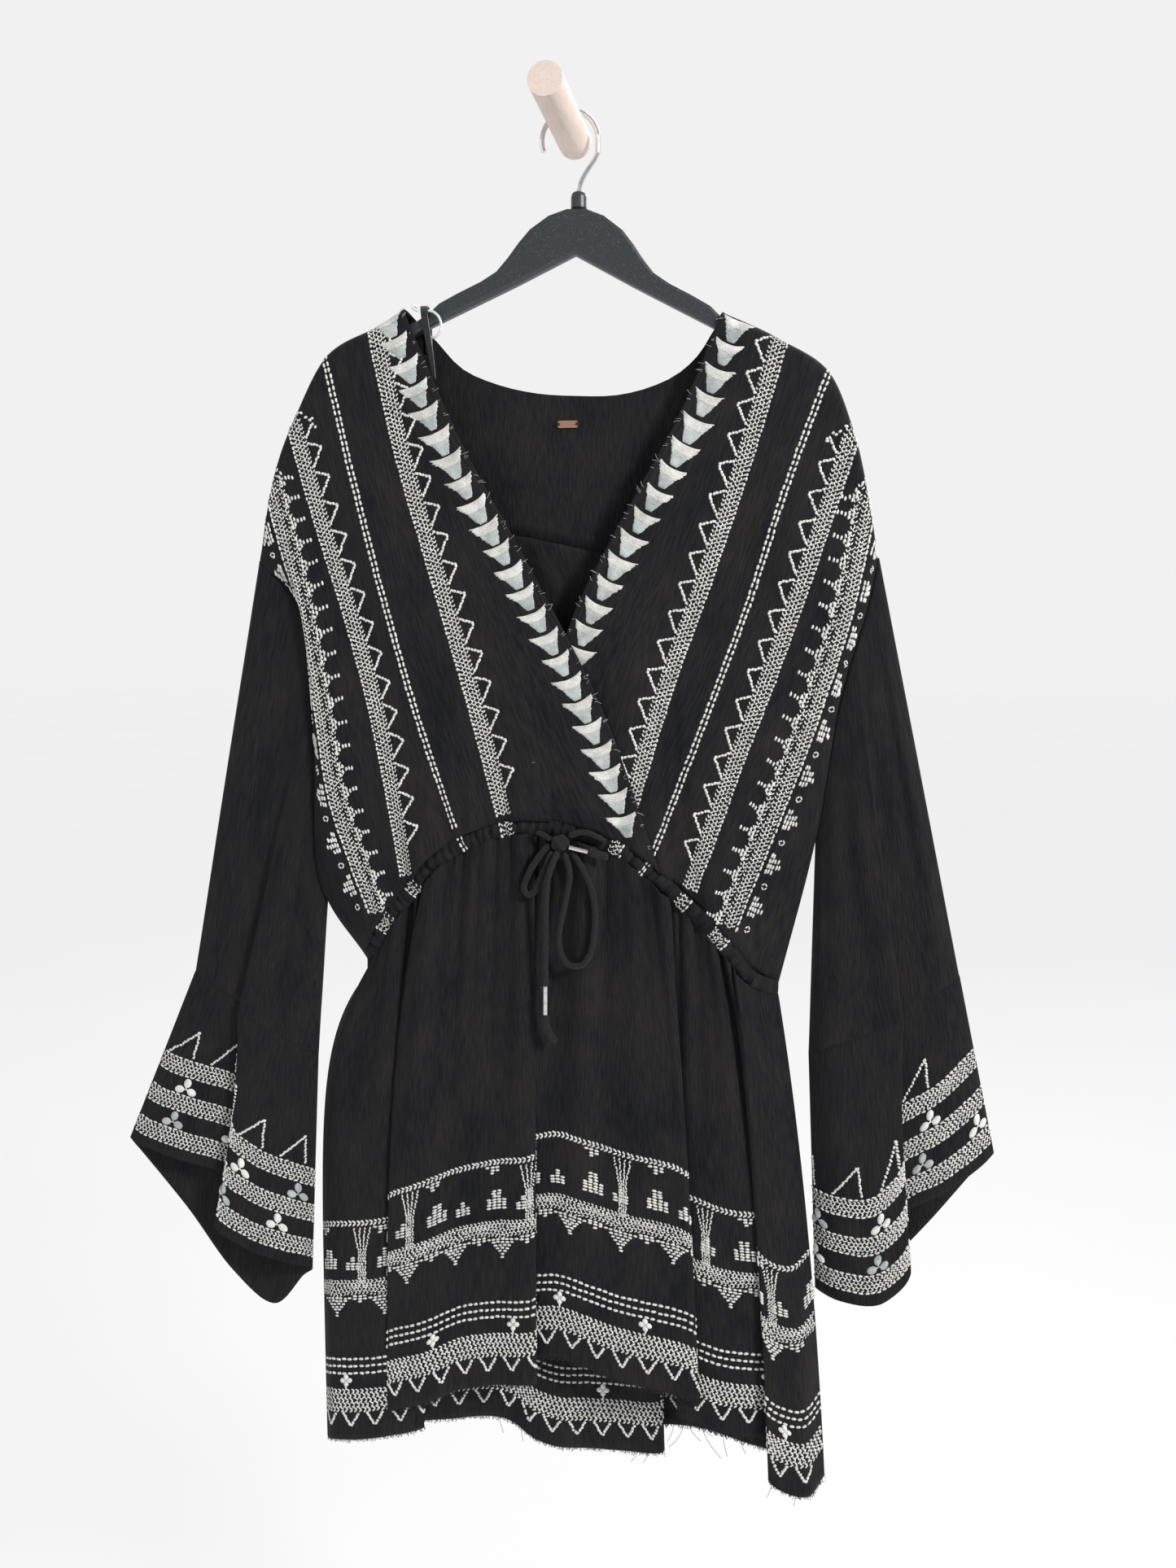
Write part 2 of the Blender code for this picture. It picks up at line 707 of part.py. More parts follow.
def add_hanger(collection):
    """The flat outline of the hanger, extruded and rounded at its edges."""
    half = [(row["out"], row["z"]) for row in HANGER_TOP + HANGER_FOOT]
    outline = half + [(-out, z) for out, z in reversed(half[1:-1])]
    curve = bpy.data.curves.new("hanger", "CURVE")
    curve.dimensions = "2D"
    curve.fill_mode = "BOTH"
    edge = 3.0
    curve.extrude = (HANGER_THICK / 2 - edge) * MM
    curve.bevel_depth = edge * MM
    curve.bevel_resolution = 1
    curve.offset = -edge * MM
    spline = curve.splines.new("POLY")
    spline.points.add(len(outline) - 1)
    for point, (out, z) in zip(spline.points, outline):
        point.co = (out * MM, (z - HANGER_CENTRE[1]) * MM, 0, 1)
    spline.use_cyclic_u = True
    curve.materials.append(material(BLACK_PLASTIC))
    obj = bpy.data.objects.new("hanger", curve)
    collection.objects.link(obj)
    obj.location = (HANGER_CENTRE[0] * MM, -EDGE_DEPTH * MM, HANGER_CENTRE[1] * MM)
    obj.rotation_euler = (math.radians(90), 0, 0)
    obj.rotation_euler.rotate_axis("Z", HANGER_TILT)


def add_collar(collection):
    """The collar that the hook's wire comes out of."""
    profile = ((6.2, -54.9), (6.2, -46.5), (5.4, -44), (4.2, -43), (2.4, -42.6))
    collar = bmesh.new()
    points = [collar.verts.new((radius * MM, 0, z * MM)) for radius, z in profile]
    points.insert(0, collar.verts.new((0, 0, profile[0][1] * MM)))
    points.append(collar.verts.new((0, 0, profile[-1][1] * MM)))
    for a, b in zip(points, points[1:]):
        collar.edges.new((a, b))
    bmesh.ops.spin(
        collar,
        geom=collar.verts[:] + collar.edges[:],
        axis=(0, 0, 1),
        cent=(0, 0, 0),
        steps=16,
        angle=2 * math.pi,
    )
    bmesh.ops.remove_doubles(collar, verts=collar.verts, dist=0.01 * MM)
    bmesh.ops.recalc_face_normals(collar, faces=collar.faces)
    obj = add_mesh(collection, "hook_collar", collar, BLACK_PLASTIC)
    obj.location = (5.2 * MM, -EDGE_DEPTH * MM, 0)


def add_hook(collection):
    """The wire rests on the peg: half a circle over it, then a neck down to the collar."""
    radius, centre = 22.0, (-2.0, -3.6)
    arc = [
        (centre[0] + radius * math.cos(turn), centre[1] + radius * math.sin(turn), HOOK_DEPTH)
        for turn in np.radians(np.linspace(200, -8, 24))
    ]
    neck = [
        (20.0, -12.5, 14.2),
        (17.2, -19.0, 14.6),
        (13.0, -25.0, 15.2),
        (9.2, -31.0, 15.8),
        (6.4, -37.0, 16.0),
        (5.2, -42.2, 16.0),
    ]
    add_tube(collection, "hook", rows_of(arc + neck), HOOK_WIRE, CHROME, points=27, sides=2)


def add_ribbon(collection):
    """The satin loop at the left shoulder: over the hanger's arm and down inside the neck."""
    path = table(
        "x z depth",
        (-117, -158, 8.0),
        (-117.5, -140, 8.0),
        (-118, -129, 9.5),
        (-118, -124.6, 13.0),
        (-118, -124.4, 18.0),
        (-117, -129, 22.6),
        (-115.5, -140, 23.4),
        (-112, -162, 23.4),
        (-109.5, -182, 23.4),
    )
    line = Line(path, "x depth z")
    width = 6.0

    def shape(u, v):
        x, depth, z = (line.at(name, v) for name in ("x", "depth", "z"))
        return x + (u - 0.5) * width * mix(1.0, 0.55, v**3), depth, z

    add_cloth(collection, "hanging_ribbon", shape, 2, 14, BLACK_SATIN, wall=1.0)


def add_plate(collection):
    """The small plate sewn inside the back neck, with a hole for the thread at each end."""
    wide, tall, thick = 16.0, 5.6, 1.0
    plate = bmesh.new()
    bmesh.ops.create_cube(plate, size=1.0)
    bmesh.ops.scale(plate, vec=(wide * MM, thick * MM, tall * MM), verts=plate.verts)
    corners = [e for e in plate.edges if abs(e.verts[0].co.y - e.verts[1].co.y) > thick * MM / 2]
    bmesh.ops.bevel(plate, geom=corners, offset=1.0 * MM, segments=2, affect="EDGES", profile=0.5)
    obj = add_mesh(collection, "neck_plate", plate, COPPER, smooth_shading=False)
    obj.location = (-5.0 * MM, -(EDGE_DEPTH - BACK_SWELL - JOIN + CLOTH / 2 + 0.85) * MM, -216 * MM)


def add_bow(collection):
    """The drawstring's bow: two ends out of the casing, a knot, two loops, two hanging ends."""
    add_tube(collection, "cord_loop_left", LOOP_LEFT, CORD, BLACK_COTTON, points=15)
    add_tube(collection, "cord_loop_right", LOOP_RIGHT, CORD, BLACK_COTTON, points=21)
    add_tube(collection, "cord_end_left", END_LEFT, CORD, BLACK_COTTON, points=9)
    add_tube(collection, "cord_entry_left", ENTRY_LEFT, CORD * 0.8, BLACK_COTTON, points=4)
    add_tube(collection, "cord_entry_right", ENTRY_RIGHT, CORD * 0.9, BLACK_COTTON, points=7)
    add_tube(collection, "cord_tip_left", rows_of(TIP_LEFT), 4.0, SILVER, points=2)
    add_tube(collection, "cord_tip_right", rows_of(TIP_RIGHT), 4.0, SILVER, points=2)
    add_tube(collection, "cord_knot_left", rows_of(KNOT_LEFT), 6.4, BLACK_COTTON, points=4)
    add_tube(collection, "cord_knot_right", rows_of(KNOT_RIGHT), 6.4, BLACK_COTTON, points=4)
    knot = bmesh.new()
    bmesh.ops.create_uvsphere(knot, u_segments=14, v_segments=8, radius=1.0)
    size = (BOW_KNOT["wide"] * MM, BOW_KNOT["thick"] * MM, BOW_KNOT["tall"] * MM)
    bmesh.ops.scale(knot, vec=size, verts=knot.verts)
    obj = add_mesh(collection, "bow_knot", knot, BLACK_COTTON)
    obj.location = (BOW_KNOT["x"] * MM, -BOW_KNOT["depth"] * MM, BOW_KNOT["z"] * MM)


# Where the cloth turns fast, at the shoulder and towards the sides, its columns and rows stand closer.
PANEL_COLUMNS = [0, 0.05, 0.12, 0.2, 0.28, 0.36, 0.45, 0.54, 0.63, 0.72, 0.8, 0.87, 0.92]
PANEL_COLUMNS += [0.955, 0.98, 1]
PANEL_ROWS = [0, 0.0025, 0.006, 0.012, 0.024, 0.06, 0.12, 0.19, 0.27, 0.35, 0.43, 0.51]
PANEL_ROWS += [0.59, 0.67, 0.75, 0.8, 0.86, 0.93, 1]
YOKE_HALF = [0, 0.008, 0.02, 0.045, 0.09, 0.14, 0.18, 0.205, 0.22, 0.224, 0.231, 0.245]
YOKE_HALF += [0.27, 0.32, 0.38, 0.44]
YOKE_ROWS = [0, 0.006, 0.015, 0.03, 0.06, 0.15, 0.35, 0.65, 1]
BACK_HALF = [0, 0.01, 0.025, 0.05, 0.085, 0.12, 0.16, 0.2, 0.24, 0.28, 0.32, 0.36, 0.4, 0.44, 0.48]


def add_bodice(collection):
    left = front_panel(LEFT_LINES, UNDERARM_LEFT, LAP, -1)
    right = front_panel(RIGHT_LINES, UNDERARM_RIGHT, -LAP, 1)
    add_cloth(collection, "front_left", left, PANEL_COLUMNS, PANEL_ROWS)
    add_cloth(collection, "front_right", right, PANEL_COLUMNS, PANEL_ROWS)
    yoke_columns = YOKE_HALF + [0.5] + [1 - u for u in reversed(YOKE_HALF)]
    back_columns = BACK_HALF + [0.52] + [1 - u for u in reversed(BACK_HALF[:-1])]
    add_cloth(collection, "back_yoke", yoke, yoke_columns, YOKE_ROWS)
    add_cloth(collection, "back_bodice", back_bodice, back_columns, 10)


def add_skirt(collection):
    front = skirt(SKIRT_FRONT, FRONT_LINE, 14, 1.8, JOIN)
    back = skirt(SKIRT_BACK, BACK_LINE, 11, 1.4, -JOIN)
    add_cloth(collection, "skirt_front", front, between(Line(SKIRT_FRONT, "x z hem").knots, 4), 7)
    add_cloth(collection, "skirt_back", back, between(Line(SKIRT_BACK, "x z hem").knots, 3), 6)
    puffed = casing(FRONT_LINE, waist_depth, CASING_PUFF, JOIN)
    flat = casing(BACK_LINE, back_waist_depth, -CASING_PUFF * 0.5, -JOIN)
    ends = [0, 0.006, 0.015, 0.03]
    middle = [float(w) for w in np.linspace(0.05, 0.95, 34)]
    columns = ends + middle + [1 - w for w in reversed(ends)]
    add_cloth(collection, "casing_front", puffed, columns, 4)
    add_cloth(collection, "casing_back", flat, columns[::2] + [1.0], 3)


AROUND = [0, 0.035, 0.07, 0.11, 0.15, 0.18, 0.21, 0.235, 0.26, 0.285, 0.31, 0.35, 0.4, 0.44, 0.47]
AROUND += [0.5, 0.53, 0.57, 0.61, 0.66, 0.71, 0.77, 0.82, 0.88, 0.92, 0.96, 1]


def add_sleeves(collection):
    rings = [Ring(rows) for rows in (SEAM_LEFT, HEM_LEFT, SEAM_RIGHT, HEM_RIGHT)]
    left = sleeve(LEFT_LINES, UNDERARM_LEFT, -1, rings[0])
    right = sleeve(RIGHT_LINES, UNDERARM_RIGHT, 1, rings[2])
    add_cloth(collection, "sleeve_left", left, AROUND, 9, tube=True)
    add_cloth(collection, "sleeve_right", right, AROUND, 9, tube=True)
    add_cloth(collection, "cuff_left", cuff(rings[0], rings[1]), AROUND, 4, tube=True)
    add_cloth(collection, "cuff_right", cuff(rings[2], rings[3]), AROUND, 4, tube=True)


def main():
    clear_scene()
    collection = make_collection("wrap_tunic")
    add_peg(collection)
    add_hanger(collection)
    add_collar(collection)
    add_hook(collection)
    add_bodice(collection)
    add_skirt(collection)
    add_sleeves(collection)
    add_ribbon(collection)
    add_plate(collection)
    add_bow(collection)


main()
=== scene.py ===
# The wrap tunic on its hanger and wall peg: cloth, embroidery, fittings, light and camera.
# Sizes in the tables are in millimetres: x to the right, z up from the peg's foot on the wall,
# depth out from the wall. What gets built is in metres.
import math

import bpy
import numpy as np
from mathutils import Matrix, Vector


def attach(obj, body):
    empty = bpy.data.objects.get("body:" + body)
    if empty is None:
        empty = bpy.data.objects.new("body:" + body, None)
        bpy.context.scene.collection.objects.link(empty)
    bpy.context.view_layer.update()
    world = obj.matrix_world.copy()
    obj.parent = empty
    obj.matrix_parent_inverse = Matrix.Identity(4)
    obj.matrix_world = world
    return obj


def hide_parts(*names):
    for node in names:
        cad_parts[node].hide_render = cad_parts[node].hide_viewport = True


mm = 0.001
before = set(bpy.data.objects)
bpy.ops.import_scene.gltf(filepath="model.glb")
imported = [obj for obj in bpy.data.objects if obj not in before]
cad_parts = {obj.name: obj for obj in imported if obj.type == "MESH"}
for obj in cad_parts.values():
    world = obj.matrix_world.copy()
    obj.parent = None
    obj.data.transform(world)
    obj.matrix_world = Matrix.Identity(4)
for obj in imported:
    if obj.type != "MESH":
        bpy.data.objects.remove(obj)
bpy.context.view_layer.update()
bpy.ops.object.select_all(action="DESELECT")
print("frame loaded")

# camera, light and floor

view = {"place": (0.1466, -1.05, -0.3822), "down": 6.596, "turn": 7.4, "lens": 29.648}
bpy.ops.object.camera_add(
    location=view["place"],
    rotation=(math.radians(90 - view["down"]), 0, math.radians(view["turn"])),
)
camera = bpy.context.object
camera.data.lens = view["lens"]
camera.data.sensor_fit = "VERTICAL"
camera.data.sensor_height = 36
camera.data.clip_start = 0.01
bpy.context.scene.camera = camera
bpy.context.scene.view_settings.view_transform = "Standard"

studio = {
    "key": {"place": (2.1, -1.7, 0.9), "size": 0.5, "power": 84, "color": (1.0, 0.985, 0.96)},
    "fill": {"place": (-2.2, -1.9, 0.2), "size": 2.2, "power": 9, "color": (0.9, 0.95, 1.0)},
    "rim": {"place": (0.8, 2.2, 1.4), "size": 1.6, "power": 34, "color": (1.0, 1.0, 1.0)},
    "aim": (0.0, 0.0, -0.5),
    "sky": (0.36, 0.88),  # its strength behind the camera and behind the tunic
    "skySpan": (-0.7, 0.3),  # the directions along Y that it changes between
    "floorAt": -1.75, "floorSize": 60,
}
for name in ("key", "fill", "rim"):
    lamp = studio[name]
    toward = Vector(studio["aim"]) - Vector(lamp["place"])
    bpy.ops.object.light_add(type="AREA", location=lamp["place"])
    light = bpy.context.object
    light.name = name + "Light"
    light.rotation_euler = toward.to_track_quat("-Z", "Y").to_euler()
    light.data.size = lamp["size"]
    light.data.energy = lamp["power"]
    light.data.color = lamp["color"]


def linkRange(tree, source, target, limits, span=(0, 1)):
    # links source to target, mapped from span to limits
    node = tree.nodes.new("ShaderNodeMapRange")
    for socket, value in zip(("From Min", "From Max", "To Min", "To Max"), (*span, *limits)):
        node.inputs[socket].default_value = value
    tree.links.new(source, node.inputs["Value"])
    tree.links.new(node.outputs[0], target)


world = bpy.data.worlds.new("studioAir")
bpy.context.scene.world = world
world.use_nodes = True
air = world.node_tree
direction = air.nodes.new("ShaderNodeTexCoord")
parts = air.nodes.new("ShaderNodeSeparateXYZ")
air.links.new(direction.outputs["Generated"], parts.inputs[0])
sky = air.nodes["Background"].inputs
sky["Color"].default_value = (1, 1, 1, 1)
linkRange(air, parts.outputs["Y"], sky["Strength"], studio["sky"], studio["skySpan"])

bpy.ops.mesh.primitive_plane_add(size=studio["floorSize"], location=(0, 0, studio["floorAt"]))
floor = bpy.context.object
floor.name = "studioFloor"
print("camera, light and floor placed")

# materials: noise stretched over the piece feeds the color, the bumps and the roughness


def makeFinish(
    name, color, roughness, noises, coords="Object", tone=(), stops=(), bumps=(), rub=None, **sockets
):
    material = bpy.data.materials.new(name)
    material.use_nodes = True
    tree = material.node_tree
    add, link = tree.nodes.new, tree.links.new
    shader = tree.nodes["Principled BSDF"]
    shader.inputs["Base Color"].default_value = (*color, 1)
    shader.inputs["Roughness"].default_value = roughness
    for socket, value in sockets.items():
        shader.inputs[socket.replace("_", " ")].default_value = value
    source = add("ShaderNodeTexCoord").outputs[coords]
    fields = {}
    for field, (scale, detail, *rough) in noises.items():
        mapping, noise = add("ShaderNodeMapping"), add("ShaderNodeTexNoise")
        mapping.inputs["Scale"].default_value = scale
        noise.inputs["Scale"].default_value = 1.0
        noise.inputs["Detail"].default_value = detail
        noise.inputs["Roughness"].default_value = rough[0] if rough else 0.55
        link(source, mapping.inputs["Vector"])
        link(mapping.outputs["Vector"], noise.inputs["Vector"])
        fields[field] = noise.outputs["Fac"]
    if stops:
        ramp = add("ShaderNodeValToRGB")
        elements = ramp.color_ramp.elements
        while len(elements) < len(stops):
            elements.new(0.5)
        for element, (place, shade) in zip(elements, stops):
            element.position, element.color = place, (*shade, 1)
        link(ramp.outputs["Color"], shader.inputs["Base Color"])
        before = None
        for field, share in tone:  # the noises added up, each with its share
            total = add("ShaderNodeMath")
            total.operation = "MULTIPLY_ADD"
            total.inputs[1].default_value = share
            total.inputs[2].default_value = 0
            link(fields[field], total.inputs[0])
            if before:
                link(before, total.inputs[2])
            before = total.outputs[0]
        link(before, ramp.inputs["Fac"])
    under = None
    for field, distance, strength in bumps:
        bump = add("ShaderNodeBump")
        bump.inputs["Distance"].default_value = distance
        bump.inputs["Strength"].default_value = strength
        link(fields[field], bump.inputs["Height"])
        if under:
            link(under, bump.inputs["Normal"])
        under = bump.outputs["Normal"]
        link(under, shader.inputs["Normal"])
    if rub:
        linkRange(tree, fields[rub[0]], shader.inputs["Roughness"], rub[1:])
    return material


def threadPlan(dark, light):
    # embroidery cotton: strands along the stitches, a little uneven in tone
    return {
        "color": light, "roughness": 0.62, "Sheen_Weight": 0.3,
        "tone": (("strands", 0.55), ("patches", 0.45)),
        "noises": {"patches": ((90, 90, 90), 3), "strands": ((1500, 1500, 1500), 3)},
        "stops": ((0.38, dark), (0.6, light)), "bumps": (("strands", 0.001, 0.9),),
    }


plans = {
    # crinkled cotton: fine ridges that run down the cloth, on its own UV in metres
    "blackCrepe": {
        "color": (0.0032, 0.0050, 0.0085), "roughness": 0.86, "coords": "UV", "Specular_IOR_Level": 0.14,
        "Sheen_Weight": 0.03, "Sheen_Roughness": 0.5, "tone": (("broad", 0.45), ("ridges", 0.55)),
        "noises": {"broad": ((26, 12, 1), 4), "ridges": ((620, 60, 1), 3), "threads": ((2100, 1500, 1), 2)},
        # painted shade and light: the colour runs from a dark bluish shade tone to a brownish lit tone by
        # the broad patches and the ridges, so the ridges' hollows get painted shade and their crests painted
        # light
        "stops": ((0.36, (0.0032, 0.0050, 0.0085)), (0.62, (0.0190, 0.0165, 0.0160))),
        "bumps": (("broad", 0.004, 0.25), ("ridges", 0.0011, 0.9), ("threads", 0.0002, 0.5)),
    },
    "ivoryThread": threadPlan((0.66, 0.66, 0.63), (0.93, 0.92, 0.89)),
    "ivorySatin": threadPlan((0.40, 0.40, 0.37), (0.80, 0.79, 0.76)),
    "paleThread": threadPlan((0.24, 0.28, 0.28), (0.56, 0.605, 0.60)),
    "blackSatin": {
        "color": (0.014, 0.014, 0.016), "roughness": 0.32, "coords": "UV", "Sheen_Weight": 0.1,
        "noises": {"weave": ((3000, 300, 1), 2)}, "bumps": (("weave", 0.0001, 0.4),),
    },
    "cordCotton": {
        "color": (0.012, 0.012, 0.013), "roughness": 0.85, "Specular_IOR_Level": 0.2, "Sheen_Weight": 0.08,
        "noises": {"fluff": ((1400, 1400, 1400), 3)}, "tone": (("fluff", 1),),
        "stops": ((0.35, (0.008, 0.008, 0.009)), (0.7, (0.02, 0.019, 0.02))),
        "bumps": (("fluff", 0.0004, 0.6),),
    },
    "moldedPlastic": {
        "color": (0.026, 0.031, 0.036), "roughness": 0.34, "tone": (("dustAndGlare", 1),),
        "noises": {"dustAndGlare": ((900, 900, 900), 5, 0.7), "scratches": ((40, 400, 1600), 4, 0.7)},
        # the pale specks are partly dust and partly painted glints of the plastic's gloss
        "stops": ((0.58, (0.026, 0.031, 0.036)), (0.76, (0.17, 0.18, 0.185))),
        "bumps": (("scratches", 0.0002, 0.2),), "rub": ("scratches", 0.26, 0.48),
    },
    "brightSteel": {
        "color": (0.78, 0.78, 0.79), "roughness": 0.1, "Metallic": 1.0,
        "noises": {"smear": ((300, 300, 60), 4)}, "rub": ("smear", 0.06, 0.22),
    },
    "rubbedCopper": {
        "color": (0.6, 0.32, 0.22), "roughness": 0.38, "Metallic": 1.0, "tone": (("brushed", 1),),
        "noises": {"brushed": ((80, 80, 2200), 3)}, "bumps": (("brushed", 0.0001, 0.4),),
        "stops": ((0.3, (0.5, 0.26, 0.17)), (0.7, (0.68, 0.4, 0.28))),
    },
    "paleMetal": {
        "color": (0.7, 0.68, 0.62), "roughness": 0.3, "Metallic": 1.0, "tone": (("tarnish", 1),),
        "noises": {"tarnish": ((300, 300, 300), 4)},
        "stops": ((0.35, (0.58, 0.55, 0.49)), (0.6, (0.76, 0.74, 0.69))),
    },
    "paleBeech": {
        "color": (0.72, 0.6, 0.53), "roughness": 0.5, "tone": (("grain", 1),),
        "noises": {"grain": ((420, 14, 420), 5, 0.6), "flecks": ((1500, 120, 900), 2)},
        "stops": ((0.3, (0.6, 0.49, 0.43)), (0.55, (0.66, 0.55, 0.49)), (0.8, (0.7, 0.6, 0.54))),
        "bumps": (("flecks", 0.0002, 0.25),),
    },
    "milkyBand": {
        "color": (0.74, 0.75, 0.74), "roughness": 0.3, "Subsurface_Weight": 0.3, "tone": (("clouds", 1),),
        "noises": {"clouds": ((400, 400, 400), 3)},
        "stops": ((0.3, (0.6, 0.62, 0.62)), (0.7, (0.8, 0.81, 0.8))),
    },
    "paleFloor": {
        "color": (0.3, 0.3, 0.3), "roughness": 0.9, "Emission_Strength": 0.62, "tone": (("even", 1),),
        "Emission_Color": (1, 1, 1, 1), "noises": {"even": ((0.8, 0.8, 0.8), 2)},
        "stops": ((0.3, (0.29, 0.29, 0.29)), (0.7, (0.31, 0.31, 0.31))),
    },
}
looks = {name: makeFinish(name, **plan) for name, plan in plans.items()}
floor.data.materials.append(looks["paleFloor"])
print("materials made")

# smooth curves through a few measured points


def rowsOf(names, *rows):
    return [dict(zip(names.split(), row)) for row in rows]


def smoothRun(knots, values, t):
    # values may also have a column for each t
    knots, values, t = (np.asarray(part, float) for part in (knots, values, t))
    steep = np.gradient(values, knots, axis=0)
    i = np.clip(np.searchsorted(knots, t, side="right") - 1, 0, len(knots) - 2)
    width = knots[i + 1] - knots[i]
    s = (t - knots[i]) / width
    column = () if values.ndim == 1 else (np.arange(len(t)),)
    near, far = (i, *column), (i + 1, *column)
    run = (1 + 2 * s) * (1 - s) ** 2 * values[near] + s * (1 - s) ** 2 * width * steep[near]
    return run + s * s * (3 - 2 * s) * values[far] + s * s * (s - 1) * width * steep[far]


def curveOf(rows, along="x z"):
    columns = {name: [row[name] for row in rows] for name in rows[0]}
    points = np.array([columns[name] for name in along.split()], float).T
    steps = np.linalg.norm(np.diff(points, axis=0), axis=1)
    knots = np.concatenate([[0], np.cumsum(steps) / steps.sum()])
    return {"knots": knots, "columns": columns}


def readCurve(curve, name, t):
    return smoothRun(curve["knots"], curve["columns"][name], t)


def mix(a, b, t):
    return a * (1 - t) + b * t


def eased(distance, reach):
    return 1 - np.exp(-distance / reach)


def fromEnds(t):
    return np.minimum(t, 1 - t)


def waves(count, u, phase=0):
    return np.sin(2 * np.pi * count * u + phase)


def swell(x, z):
    # soft unevenness of hung cloth, the same for pieces that lie on each other
    wave = np.sin(x / 19 + 1.6 * np.sin(z / 57)) * np.sin(z / 71 + x / 46)
    return wave + 0.6 * np.sin((x + 0.8 * z) / 23 + 1.3 * np.sin(x / 39))


# where each piece of cloth lies

cloth = {
    "wall": 1.4, "seam": -0.35, "seamDrop": 2.2, "edgeDepth": 16.0, "frontSwell": 10.5, "backSwell": 9.0,
    "shoulderRound": 3.0, "sideRound": 9.0, "join": 0.9, "casingHalf": 6.0, "casingPuff": 3.2,
    "casingGap": -0.5, "casingEnd": 0.0008, "casingRound": 0.045, "offWall": 3.2,
    "panelWide": 130, "panelLong": 430, "yokeWide": 480, "yokeLong": 150, "backWide": 430,
}
casingEdge = cloth["casingHalf"] + cloth["casingGap"]
waistFront = curveOf(rowsOf(
    "x z", (-174, -660), (-155, -620), (-132, -592), (-112, -567), (-81, -547), (-46, -537),
    (0, -540), (39, -553), (69, -575), (86, -590), (110, -613), (129, -635), (147, -657), (168, -667),
))
waistBack = curveOf(rowsOf(
    "x z", (-174, -660), (-120, -654), (-40, -652), (50, -654), (120, -659), (168, -667)
))


def waistPoint(line, w, up):
    # a point of the casing's line, moved up square to it
    w = np.asarray(w, float)
    low, high = np.maximum(w - 0.004, 0), np.minimum(w + 0.004, 1)
    dx = readCurve(line, "x", high) - readCurve(line, "x", low)
    dz = readCurve(line, "z", high) - readCurve(line, "z", low)
    upright = np.exp(-fromEnds(w) / 0.03)
    side, rise = mix(-dz, 0.0, upright), mix(dx, np.hypot(dx, dz), upright)
    length = np.hypot(side, rise)
    return readCurve(line, "x", w) + up * side / length, readCurve(line, "z", w) + up * rise / length


def casingDepth(w, out):
    return cloth["edgeDepth"] + out * eased(fromEnds(w), cloth["casingRound"])


# each row is a line of a front panel from the shoulder to the casing, a quarter of it apart:
# neck edge, zigzag, double line, outer zigzag, border, armhole
frontNames = "u x0 z0 x1 z1 x2 z2 x3 z3 waist"
fronts = {
    "left": {
        "lines": rowsOf(
            frontNames,
            (0, -134, -126, -85, -235, -32, -330, 26, -442, 69),
            (0.25, -155, -139, -133, -241, -106, -334, -79, -428, -51),
            (0.45, -198, -161, -175, -259, -151, -353, -124, -451, -89),
            (0.63, -225, -208, -199, -297, -175, -376, -153, -465, -129),
            (0.81, -243, -252, -221, -343, -204, -435, -189, -523, -153),
            (1, -259, -321, -222, -366, -215, -480, -214, -588, -174),
        ),
        "underarm": 0.80, "lap": 1.5, "side": -1,
    },
    "right": {
        "lines": rowsOf(
            frontNames,
            (0, 116.5, -136.5, 82, -219, 27, -317, -8, -395, -42),
            (0.25, 160, -157.5, 135, -245, 105, -338, 74, -427, 37),
            (0.45, 198, -183, 167, -270, 140, -357, 108, -446, 61),
            (0.63, 217, -226, 189, -314, 160, -401, 132, -478, 90),
            (0.81, 228, -268, 212, -357, 186, -446, 155, -530, 118),
            (1, 238, -323, 230, -364, 211, -436, 195, -545, 168),
        ),
        "underarm": 0.75, "lap": -1.5, "side": 1,
    },
}
quarters = [0, 0.25, 0.5, 0.75, 1]
for panel in fronts.values():
    seek = np.linspace(0, 1, 401)
    reach = readCurve(waistFront, "x", seek)
    panel["us"] = [row["u"] for row in panel["lines"]]
    panel["feet"] = [seek[np.argmin(np.abs(reach - row["waist"]))] for row in panel["lines"]]
    for axis, ends in zip("xz", waistPoint(waistFront, panel["feet"], casingEdge)):
        panel[axis] = [
            [row[axis + str(k)] for k in range(4)] + [end] for row, end in zip(panel["lines"], ends)
        ]


def panelEdge(panel, v):
    return smoothRun(quarters, panel["x"][-1], v), smoothRun(quarters, panel["z"][-1], v)


def armholeSwell(v, underarm):
    inside = (v > 0) & (v < underarm)
    return np.where(inside, np.abs(np.sin(np.pi * np.clip(v, 0, underarm) / underarm)) ** 0.5, 0.0)


def frontPanel(panel):
    def shape(u, v):
        foot = waistPoint(waistFront, smoothRun(panel["us"], panel["feet"], u), casingEdge)
        place = []
        for axis, end in zip("xz", foot):
            across = np.array([smoothRun(quarters, row, v) for row in panel[axis]])
            here = smoothRun(panel["us"], across, u)
            there = smoothRun(panel["us"], [row[-1] for row in panel[axis]], u)
            place.append(here + (end - there) * v**6)
        x, z = place
        fromTop = eased(v * cloth["panelLong"], cloth["shoulderRound"])
        fromSide = eased((1 - u) * cloth["panelWide"], cloth["sideRound"])
        edge = cloth["edgeDepth"] + 6 * armholeSwell(v, panel["underarm"])
        chest = cloth["edgeDepth"] + (cloth["frontSwell"] + 6 * v) * fromTop
        ripple = 0.9 * waves(6, u, panel["side"]) * v**4
        gathers = 1.1 * np.sin(x / 2.9 + z / 19 + 0.8 * np.sin(x / 13)) + 1.9 * np.sin(x / 7.5 + z / 41)
        loose = 1.5 * swell(x, z) * fromTop * np.minimum(1, (1 - u) * 6)
        free = np.minimum(1.0, (1 - u) * 8)
        depth = mix(edge, np.maximum(chest, edge), fromSide) + (panel["lap"] * fromTop + ripple) * free
        return x, depth + cloth["join"] + loose + gathers * v**5 * free, z

    return shape


